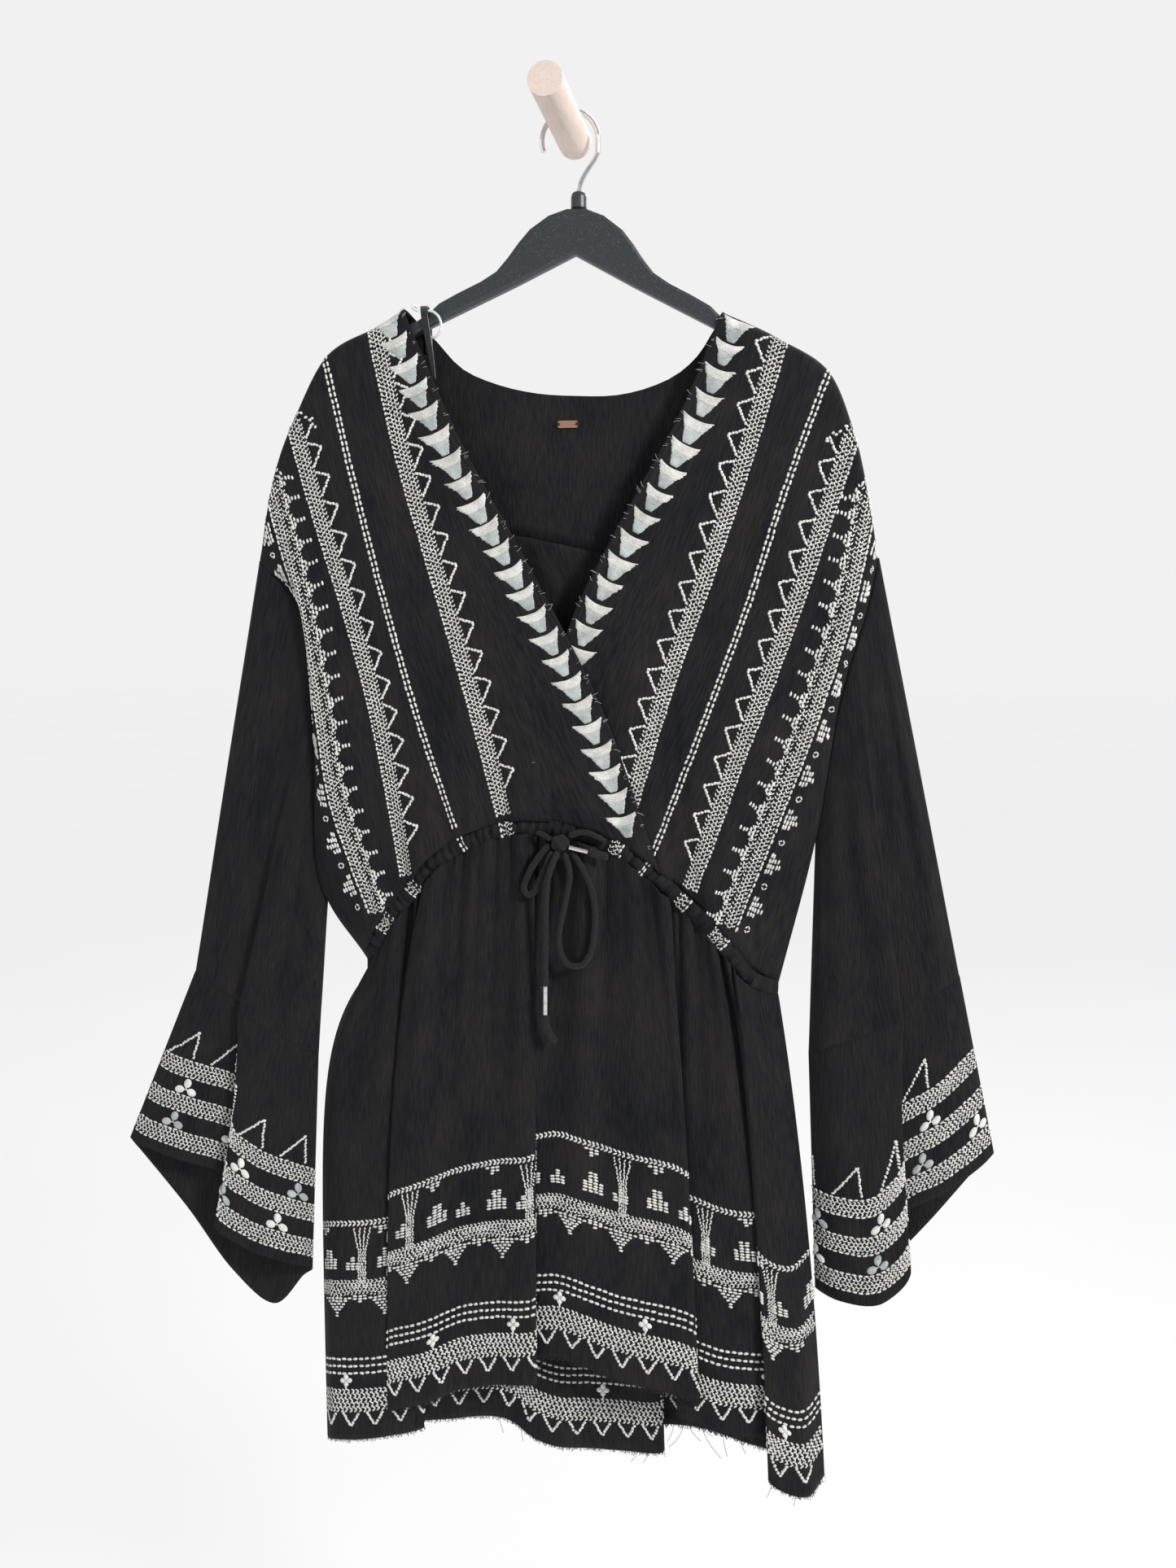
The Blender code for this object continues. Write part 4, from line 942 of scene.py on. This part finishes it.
def station(path, s, o):
    # where a spot lies that is s along the path and o to its side, and which way the cloth faces there
    surface, length = path["surface"], path["length"]
    s, o = np.asarray(s, float) * mm, np.asarray(o, float) * mm
    row, column = np.interp(s, length, path["row"]), np.interp(s, length, path["column"])
    ahead = np.stack([np.interp(s, length, path["ahead"][:, axis]) for axis in range(3)], axis=-1)
    if "above" in path:  # a hem's height is measured up the cloth's own columns
        row = heightRow(surface, path["above"] + o / mm, column)
    else:
        beyond = (s - np.clip(s, 0, length[-1]))[..., None]
        row, column = walkAside(surface, ahead, row, column, o, beyond)
    rows, columns = surface["grid"].shape[:2]
    inside = (row >= 0) & (row <= rows - 1)
    if not surface["closed"]:
        inside &= (column >= 0) & (column <= columns - 1)
    facing = unit(readField(surface, "normal", row, column)) * path.get("inward", 1)
    along = unit(ahead - facing * (ahead * facing).sum(-1, keepdims=True))
    point = readField(surface, "grid", row, column) + facing * surface["half"]
    return point, along, np.cross(facing, along), facing, inside


# one stitch: six points round its foot and two on its ridge
stitchPoints = np.array([
    (1, 0, -0.1), (0.5, 0.9, -0.1), (-0.5, 0.9, -0.1), (-1, 0, -0.1), (-0.5, -0.9, -0.1), (0.5, -0.9, -0.1),
    (0.45, 0, 1), (-0.45, 0, 1),
])
stitchFaces = [(0, 1, 6), (5, 0, 6), (1, 2, 7, 6), (2, 3, 7), (3, 4, 7), (4, 5, 6, 7), (5, 4, 3, 2, 1, 0)]
# how far a hand strays from each number of a stitch
dice = np.random.default_rng(7)
wobble = np.array([0.22, 0.16, 5.0, 0.22, 0.1, 0.05])


def newBatch():
    return {"points": [], "faces": [], "tones": [], "count": 0}


def addStitches(batch, path, hand, *sets, tone=0):
    # each set has a row for each stitch: along, aside, angle, length, width, height
    # hand is -1 where the pattern is mirrored
    for stitches in sets:
        rows = stitches * np.array([1, hand, hand, 1, 1, 1])
        rows = rows + dice.normal(0, 1, rows.shape) * wobble
        point, along, side, facing, inside = station(path, rows[:, 0], rows[:, 1])
        rows, point, along, side, facing = (part[inside] for part in (rows, point, along, side, facing))
        turn = np.radians(rows[:, 2])[:, None]
        long, wide = along * np.cos(turn) + side * np.sin(turn), side * np.cos(turn) - along * np.sin(turn)
        size = rows[:, 3:6] * mm
        points = (
            point[:, None] + long[:, None] * (stitchPoints[None, :, :1] * size[:, None, :1] / 2)
            + wide[:, None] * (stitchPoints[None, :, 1:2] * size[:, None, 1:2] / 2)
            + facing[:, None] * (stitchPoints[None, :, 2:] * size[:, None, 2:])
        )
        start = batch["count"] + np.arange(len(rows)) * len(stitchPoints)
        for face in stitchFaces:
            batch["faces"].extend((start[:, None] + np.array(face)[None]).tolist())
        batch["tones"].extend([tone] * (len(rows) * len(stitchFaces)))
        batch["points"].append(points.reshape(-1, 3))
        batch["count"] += len(rows) * len(stitchPoints)


def addPatches(batch, path, s, o, height, tone):
    # raised satin shapes: arrays of shape (how many, rows, columns)
    point, _, _, facing, inside = station(path, s, o)
    keep = inside.all(axis=(1, 2))
    point, facing, height = point[keep], facing[keep], height[keep]
    many, rows, columns = height.shape
    top, foot = point + facing * height[..., None] * mm, point - facing * 0.25 * mm
    points = np.concatenate([top.reshape(many, -1, 3), foot.reshape(many, -1, 3)], axis=1)
    layer = rows * columns
    quads = []
    for r in range(rows - 1):
        for c in range(columns - 1):
            a = r * columns + c
            quads.append((a, a + columns, a + columns + 1, a + 1))
            quads.append((layer + a + 1, layer + a + columns + 1, layer + a + columns, layer + a))
    ring = [*range(columns), *(r * columns + columns - 1 for r in range(1, rows))]
    ring += [(rows - 1) * columns + c for c in range(columns - 2, -1, -1)]
    ring += [r * columns for r in range(rows - 2, 0, -1)]
    for a, b in zip(ring, ring[1:] + ring[:1]):
        quads.append((a, b, b + layer, a + layer))
    quads = np.array(quads)
    # the grid's turn decides which way round its faces go
    da, db = point[:, 1:2, 0] - point[:, :1, 0], point[:, :1, 1] - point[:, :1, 0]
    turned = (np.cross(da[:, 0], db[:, 0]) * facing[:, 0, 0]).sum(-1) < 0
    for index in range(many):
        face = quads[:, ::-1] if turned[index] else quads
        batch["faces"].extend((batch["count"] + face).tolist())
        batch["points"].append(points[index])
        batch["count"] += 2 * layer
    batch["tones"].extend([tone] * (len(quads) * many))


def addThreads(batch, runs, radius, tone):
    # thin loose threads, three-sided; runs has the shape (how many, points, 3)
    many, count = runs.shape[:2]
    ahead = unit(np.gradient(runs, axis=1))
    side = unit(np.cross(ahead, np.array([0.3, 0.9, 0.2])))
    top = np.cross(side, ahead)
    corners = [
        runs + radius * (math.cos(turn) * side + math.sin(turn) * top) for turn in (0.0, 2.0944, 4.1888)
    ]
    points = np.stack(corners, axis=2).reshape(many, -1, 3)
    faces = [(2, 1, 0), (count * 3 - 3, count * 3 - 2, count * 3 - 1)] + tubeFaces(count, 3)
    for face in faces:
        start = batch["count"] + np.arange(many) * count * 3
        batch["faces"].extend((start[:, None] + np.array(face)[None]).tolist())
    batch["tones"].extend([tone] * (len(faces) * many))
    batch["points"].append(points.reshape(-1, 3))
    batch["count"] += many * count * 3


def finishBatch(name, batch, finishes):
    materials = [looks[finish] for finish in finishes]
    piece = meshFrom(name, np.concatenate(batch["points"]), batch["faces"], materials)
    piece.data.polygons.foreach_set("material_index", np.array(batch["tones"], np.int32))
    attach(piece, "root")
    pieces[name] = piece
    print(name, len(batch["tones"]), "faces")


# rows of stitches, each as along, aside, angle, length, width, height
def stitchRows(*numbers):
    return np.stack(np.broadcast_arrays(*numbers), 1).astype(float)


def ovalRow(total, o, pitch=4.7, long=4.7, wide=2.4, high=0.85):
    return stitchRows(np.arange(2.0, total - 1, pitch), o, 0, long, wide, high)


def chainRow(total, o, pitch=3.5, arm=3.1, wide=1.35, lean=37, high=0.36, curve=None):
    # chain stitch seen from above: pairs of short arms that meet in a point
    s = np.arange(1.5 + o * 0.62 % pitch, total - 1, pitch)
    lift = o if curve is None else o + curve(s)
    reach = arm * math.sin(math.radians(lean)) / 2
    return np.concatenate([
        stitchRows(s, lift + sign * reach, -sign * lean, arm, wide, high) for sign in (-1, 1)
    ])


def repeated(total, pitch, start, motif, clear=4):
    # a motif of stitches, laid again and again along the path
    places = np.arange(start, total - clear, pitch)
    ahead = np.zeros((len(places), 1, 6))
    ahead[:, 0, 0] = places
    return (ahead + np.array(motif, float)).reshape(-1, 6)


def openTriangles(total, pitch, base, point, lean=0.5, step=2.5, wide=2.6, high=0.6, share=0.84):
    # lines of chain that rise from the base to a point and come back
    motif = []
    apex = (pitch * share * lean, point)
    for a, b in (((0, base), apex), (apex, (pitch * share, base))):
        long = math.dist(a, b)
        turn = math.degrees(math.atan2(b[1] - a[1], b[0] - a[0]))
        for k, t in enumerate(np.arange(step / 2, long, step) / long):
            x, o = mix(a[0], b[0], t), mix(a[1], b[1], t)
            motif.append((x, o, turn + (20 if k % 2 else -20), step * 1.3, wide, high))
    return repeated(total, pitch, pitch * 0.2, motif, pitch)


def blocks(total, pitch, start, o, heights, side=1, long=4.2, wide=1.9, high=0.75):
    # stacks of ovals side by side, as tall as heights says
    middle = (len(heights) - 1) / 2
    return repeated(total, pitch, start, [
        ((k - middle) * 4.6, o + side * row * 2.5, 0, long, wide, high)
        for k, tall in enumerate(heights) for row in range(tall)
    ])


def filledPoints(total, pitch, start, base, tip, spread=13.3, step=2.6):
    # solid points of short rows that narrow towards their tip
    motif = []
    for o in np.arange(base, tip, -step if tip < base else step):
        count = max(1, round((1 - abs(o - base) / abs(tip - base)) ** 1.5 * spread / 4.0))
        motif += [((k - (count - 1) / 2) * 4.2, o, 0, 4.1, 2.3, 0.7) for k in range(count)]
    return repeated(total, pitch, start, motif)


def struts(total, pitch, start, low, high):
    # pairs of chain lines that join two borders and open out at their top
    motif = []
    for lean in (-9, -3, 3, 9):
        for k, o in enumerate(np.arange(low, high, 2.6)):
            place = lean * (0.32 + 1.15 * max(0, (o - low) / (high - low) - 0.55))
            motif.append((place, o, 90 + (22 if k % 2 else -22), 3.2, 1.6, 0.75))
    return repeated(total, pitch, start, motif, 10)


def diamonds(total, pitch, start, o, size=4.0):
    return repeated(total, pitch, start, [
        (ds * size * 0.35, o + do * size * 0.7, turn, size * 0.95, 1.5, 0.7)
        for ds, do, turn in ((-1, 0.5, 45), (1, 0.5, -45), (-1, -0.5, -45), (1, -0.5, 45))
    ])


def scallopUp(s):
    return 3.5 * np.abs(np.sin(np.pi * (s - 22) / 44)) ** 0.7


def archesDown(s):
    return -2.5 * np.abs(np.sin(np.pi * s / 18.5))


neckTrim = {
    "pitch": 20.0, "wide": 24.0, "long": 20.0, "inFromEdge": 2.4, "thick": 0.9, "hollow": 2.4,
    "taperAt": (0, 0.12, 0.34, 0.4, 0.42, 0.9, 1), "taper": (1.0, 0.93, 0.74, 0.7, 0.62, 0.3, 0.2),
    "parts": ((2, 0.0, 0.44), (1, 0.42, 1.0)),  # finish, and from where to where down the pennant
    "tailReach": (1.5, 5.5), "tailRadius": 0.19,
}
lineAt = {"neck": 0.0, "zigzag": 0.25, "double": 0.45, "outer": 0.63, "border": 0.81}
# what each line sews over the casing: rows of chain and of ovals across it
casingRows = {
    "zigzag": ((-3.2, 0, 3.2), (6.2,)), "double": ((), (1.7, -1.7)),
    "outer": ((-3.2, 0, 3.2), (6.2,)), "border": ((-4, -1, 2, 5, 8), (11,)),
}
for side, hand in (("left", -1), ("right", 1)):
    surface = surfaces["frontPanel" + side.title()]
    rows, columns = surface["grid"].shape[:2]
    us = between(panelColumns, 7)
    down = np.arange(4, rows - 1)
    lines = {
        name: makePath(surface, down, np.full(len(down), np.interp(u, us, np.arange(columns))))
        for name, u in lineAt.items()
    }
    batch = newBatch()
    for name in ("zigzag", "outer"):
        total = lines[name]["total"]
        addStitches(
            batch, lines[name], hand, *(chainRow(total, o) for o in (-4.2, -1.4, 1.4, 4.2)),
            ovalRow(total, 6.9, 3.8, 3.4, 2.2), openTriangles(total, 24, -5.5, -16.5, 0.3),
        )
    total = lines["double"]["total"]
    addStitches(batch, lines["double"], hand, *(ovalRow(total, o, 4.9) for o in (-1.7, 1.7)))
    total = lines["border"]["total"]
    addStitches(
        batch, lines["border"], hand, *(chainRow(total, o) for o in (1.4, 4.2, 7.0)), ovalRow(total, 10.2),
        *(chainRow(total, o, curve=archesDown) for o in (-1.4, -4.2)),
        filledPoints(total, 18.5, 9.25, -5.5, -17), blocks(total, 37, 10, 15, (2, 4, 5, 3), 1, 4.8, 2.3),
        diamonds(total, 37, 29, 19),
    )
    # satin pennants down the neck, each in an upper ivory part with horns and a lower paler one
    path = lines["neck"]
    centers = np.arange(2, path["total"] - 16, neckTrim["pitch"])
    a, b = np.linspace(-1, 1, 15), np.linspace(0, 1, 13)
    middle = neckTrim["inFromEdge"] + neckTrim["wide"] / 2
    uneven = dice.uniform(0.93, 1.06, (len(centers), 1, 1))
    for tone, low, high in neckTrim["parts"]:
        t = low + b * (high - low)
        half = neckTrim["wide"] / 2 * np.interp(t, neckTrim["taperAt"], neckTrim["taper"])
        hollow = neckTrim["hollow"] * (1 - a**2)[None] * (1 - t)[:, None] ** 1.2
        s = centers[:, None, None] + (t * neckTrim["long"])[None, :, None] * uneven + hollow[None]
        ragged = dice.uniform(0.9, 1.05, (len(centers), len(b), 1))
        o = middle + half[None, :, None] * a[None, None] * uneven * ragged
        dome = (1 - np.abs(a) ** 2.6)[None] ** 0.5 * (1 - np.abs(2 * b - 1) ** 3.2)[:, None] ** 0.5
        height = neckTrim["thick"] * dome * dice.uniform(0.55, 1.05, s.shape) + 0.05
        addPatches(batch, path, s, o * hand, height, tone)
    # loose ends of the neck's threads
    tails = np.repeat(centers, 3) + dice.uniform(0, 14, len(centers) * 3)
    point, along, aside, facing, _ = station(path, tails, np.full(len(tails), 3.0 * hand))
    reach = (dice.uniform(*neckTrim["tailReach"], len(tails)) * mm)[:, None, None]
    steps = np.linspace(0, 1, 6)[None, :, None]
    curl = dice.uniform(-0.8, 0.8, (len(tails), 2))
    runs = (
        point[:, None] - aside[:, None] * hand * (steps * reach)
        + along[:, None] * (steps**2 * (curl[:, :1, None] * reach))
        + facing[:, None] * (0.0006 + 0.002 * np.sin(steps * 2.6) * curl[:, 1:, None] ** 2)
    )
    addThreads(batch, runs, neckTrim["tailRadius"] * mm, 1)
    finishBatch("neckEmbroidery" + side.title(), batch, ["ivoryThread", "paleThread", "ivorySatin"])
    # the same lines run on over the casing to its seam
    batch = newBatch()
    for name, (chains, ovals) in casingRows.items():
        w = smoothRun(fronts[side]["us"], fronts[side]["feet"], np.array([lineAt[name]]))[0]
        column = np.interp(w, around, np.arange(len(around)))
        path = makePath(surfaces["casingFront"], np.arange(0, 12.5, 0.5), np.full(25, column))
        total = path["total"] + 1
        addStitches(batch, path, hand, *(chainRow(total, o) for o in chains))
        addStitches(batch, path, hand, *(ovalRow(total, o) for o in ovals))
    finishBatch("casingEmbroidery" + side.title(), batch, ["ivoryThread", "paleThread"])
print("bodice embroidered")


def bandPath(hem, above):
    # a path all along a hem, so far above it as measured down each column
    surface = surfaces[hem["piece"]]
    columns = np.arange(surface["grid"].shape[1], dtype=float)
    row = heightRow(surface, np.full(len(columns), above), columns)
    return {**makePath(surface, row, columns, hem["flip"]), "above": above, "inward": hem["inward"]}


def addFlowers(batch, path, centers, o, reach, wide, tone, turns=(0, 90, 180, 270)):
    # satin flowers of round lobes
    a, b = np.linspace(-1, 1, 5), np.linspace(0, 1, 8)
    for turn in np.radians(turns):
        out = (b * reach)[:, None]
        aside = a[None] * wide / 2 * np.sqrt(np.clip(1 - ((b - 0.58) / 0.44) ** 2, 0.03, 1))[:, None]
        s = centers[:, None, None] + (out * math.cos(turn) - aside * math.sin(turn))[None]
        rise = np.broadcast_to((out * math.sin(turn) + aside * math.cos(turn))[None] + o, s.shape)
        dome = (1 - a**2)[None] ** 0.5 * np.sin(np.pi * (0.08 + 0.87 * b))[:, None]
        addPatches(batch, path, s, rise, np.broadcast_to(1.3 * dome + 0.05, s.shape), tone)


# heights above the hem, in millimetres
hemTrim = {"top": 197, "blocks": 170, "scallops": 131, "ovals": (74, 67.5, 61), "flowers": 50, "band": 36}
hems = {
    "hemFront": {"piece": "skirtFront", "flip": False, "inward": 1},
    "hemBack": {"piece": "skirtBack", "flip": True, "inward": 1},
    "hemBackInside": {"piece": "skirtBack", "flip": False, "inward": -1},
}
for label, hem in hems.items():
    batch = newBatch()
    if hem["inward"] > 0:
        path = bandPath(hem, hemTrim["top"])
        total = path["total"]
        addStitches(
            batch, path, 1, chainRow(total, 0, 3.8, 4.2, 2.0, 40, 0.45),
            blocks(total, 55, 8, -4.5, (1, 3, 2), -1, 4.4, 2.4),
        )
        path = bandPath(hem, hemTrim["blocks"])
        total = path["total"]
        addStitches(
            batch, path, 1, blocks(total, 55, 14, -13, (4, 7, 7, 4), 1, 4.8, 2.4),
            blocks(total, 55, 38, -14, (3, 5, 3), 1, 4.8, 2.4),
        )
        path = bandPath(hem, hemTrim["scallops"])
        total = path["total"]
        addStitches(
            batch, path, 1, *(chainRow(total, o) for o in (13.5, 10.7)),
            *(chainRow(total, o, curve=scallopUp) for o in (6.3, 3.4, 0.5)),
            filledPoints(total, 44, 22, -1.5, -19, 28), blocks(total, 44, 44, 0.5, (2, 3, 2), -1, 4.4, 2.4),
            struts(total, 110, 46, 14, 62),
        )
    for above in hemTrim["ovals"]:
        path = bandPath(hem, above)
        addStitches(batch, path, 1, ovalRow(path["total"], 0, 5.3, 5.0, 2.9, 1.0))
    path = bandPath(hem, hemTrim["flowers"])
    centers = np.arange(30, path["total"] - 10, 75)
    addFlowers(batch, path, centers, 4.5, 5.6, 4.6, 0)
    addStitches(batch, path, 1, stitchRows(centers, -2.2, 90, 5, 2.2, 0.9))
    path = bandPath(hem, hemTrim["band"])
    total = path["total"]
    addStitches(
        batch, path, 1, *(chainRow(total, o, 4.2, 4.0, 1.9, 38, 0.45) for o in (8.4, 4.2, 0, -4.2, -8.4)),
        openTriangles(total, 22, -10.5, -23.5, 0.5, 2.8, 3.0, 0.9, 0.7),
    )
    finishBatch(label + "Embroidery", batch, ["ivoryThread", "paleThread"])
print("hem embroidered")

cuffTrim = {"bands": (82, 50, 18), "flowers": ((60, 0), (28, 1)), "pitch": 55, "turns": (-14, 90, 194)}
for side, flip in (("Left", False), ("Right", True)):
    hem = {"piece": "cuff" + side, "flip": flip, "inward": 1}
    batch = newBatch()
    for above in cuffTrim["bands"]:
        path = bandPath(hem, above)
        total = path["total"]
        addStitches(
            batch, path, 1, *(chainRow(total, o, 3.6, 3.2, 1.4) for o in (-4.4, -1.5, 1.5, 4.4)),
            *(ovalRow(total, o, 4.9, 4.5, 2.1) for o in (7.2, -7.2)),
        )
        if above == max(cuffTrim["bands"]):
            addStitches(batch, path, 1, openTriangles(total, 41, 9, 35, 0.95, 2.8, 2.4, share=0.58))
    for above, tone in cuffTrim["flowers"]:
        path = bandPath(hem, above)
        centers = np.arange(36, path["total"] - 6, cuffTrim["pitch"])
        for k, places in enumerate((centers[::2], centers[1::2])):
            addFlowers(batch, path, places, 3.4, 9.8, 6.8, (tone + k) % 2, cuffTrim["turns"])
    finishBatch("cuffEmbroidery" + side, batch, ["ivoryThread", "paleThread"])
print("cuffs embroidered")

# the raw hem: short dark fibres all along, and a few longer threads
hair = {
    "pitch": 0.5, "short": (1.0, 4.0), "long": (6.0, 22.0), "longCount": 12, "radius": 0.22, "offWall": 0.8,
}
for name in ("skirtFront", "skirtBack"):
    surface = surfaces[name]
    columns = surface["grid"].shape[1]
    path = makePath(surface, np.full(columns, surface["grid"].shape[0] - 1.0), np.arange(columns))
    batch = newBatch()
    for places, reach in (
        (np.arange(1, path["total"] - 1, hair["pitch"]), hair["short"]),
        (path["total"] * dice.uniform(0.1, 1, hair["longCount"]) ** 0.6, hair["long"]),
    ):
        many = len(places)
        point, along, side, facing, _ = station(path, places, np.zeros(many))
        point = point - facing * surface["half"] * dice.uniform(0, 2, many)[:, None]
        long = dice.uniform(*reach, many)[:, None, None] * mm
        sway, bulge = dice.uniform(-0.9, 0.9, (many, 1, 1)), dice.uniform(-0.5, 0.5, (many, 1, 1))
        t = np.linspace(0, 1, 5)[None, :, None]
        fall = np.array([0, 0, -1.0])[None, None]
        runs = point[:, None] + fall * (t * long - 0.0006)
        runs = runs + (along[:, None] * sway + facing[:, None] * bulge) * t**2 * long
        runs[..., 1] = np.minimum(runs[..., 1], -hair["offWall"] * mm)
        addThreads(batch, runs, hair["radius"] * mm, 0)
    finishBatch(name.replace("skirt", "hem") + "Fray", batch, ["cordCotton"])
print("hem frayed")

# a milky plastic strap stitched through the left shoulder, once round the hanger's arm
strap = {
    "radius": 1.0, "rounding": 5,
    "runs": (
        ((-124.5, 10.5, -125.5), (-126, 14, -123.4), (-126.5, 19, -123.6), (-125.5, 23.4, -127),
         (-121, 24.2, -129.5)),
        ((-113, 23.6, -129), (-108, 24.6, -131), (-103.5, 24.6, -137), (-104, 23.4, -145),
         (-109, 21.5, -149), (-114, 19.5, -148)),
    ),
}
for index, run in enumerate(strap["runs"]):
    line = bpy.data.curves.new("shoulderStrap" + str(index + 1), "CURVE")
    line.dimensions = "3D"
    line.bevel_depth = strap["radius"] * mm
    line.bevel_resolution = strap["rounding"]
    line.use_fill_caps = True
    spline = line.splines.new("BEZIER")
    spline.bezier_points.add(len(run) - 1)
    for point, (x, depth, z) in zip(spline.bezier_points, run):
        point.co = (x * mm, -depth * mm, z * mm)
        point.handle_left_type = point.handle_right_type = "AUTO"
    piece = bpy.data.objects.new(line.name, line)
    bpy.context.scene.collection.objects.link(piece)
    line.materials.append(looks["milkyBand"])
    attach(piece, "root")

# thread through each end of the neck's plate
plate = {
    "x": -5.0, "z": -216.0, "depth": 8.6, "holes": 6.4, "reach": 3.2, "arch": 0.9, "rise": 0.3, "apart": 0.7,
    "radius": 0.35,
}
batch = newBatch()
for hand in (-1, 1):
    across = np.linspace(0, 1, 9)
    hoop = np.stack([
        plate["x"] + hand * (plate["holes"] + plate["reach"] * across),
        -(plate["depth"] + plate["arch"] * np.sin(np.pi * across)), plate["z"] + plate["rise"] * across,
    ], 1) * mm
    for lift in (-plate["apart"], 0, plate["apart"]):
        addThreads(batch, (hoop + np.array([0, 0, lift * mm]))[None], plate["radius"] * mm, 0)
finishBatch("plateThreads", batch, ["cordCotton"])

# the drawstring's runs: what each end is tied to, how it lies and what sits on it

tip = {side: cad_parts["cord_tip_" + side] for side in ("left", "right")}
drawstring = {
    "LoopLeft": ("object", "loose", [pieces["cordEntryLeft"]]),
    "LoopRight": ("object", "loose", [pieces["cordEntryRight"], pieces["cordKnotRight"], tip["right"]]),
    "EndLeft": ("knot", "hanging", [tip["left"], pieces["cordKnotLeft"]]),
}
for name, (end, lay, onIt) in drawstring.items():
    path, length = cordRuns[name]
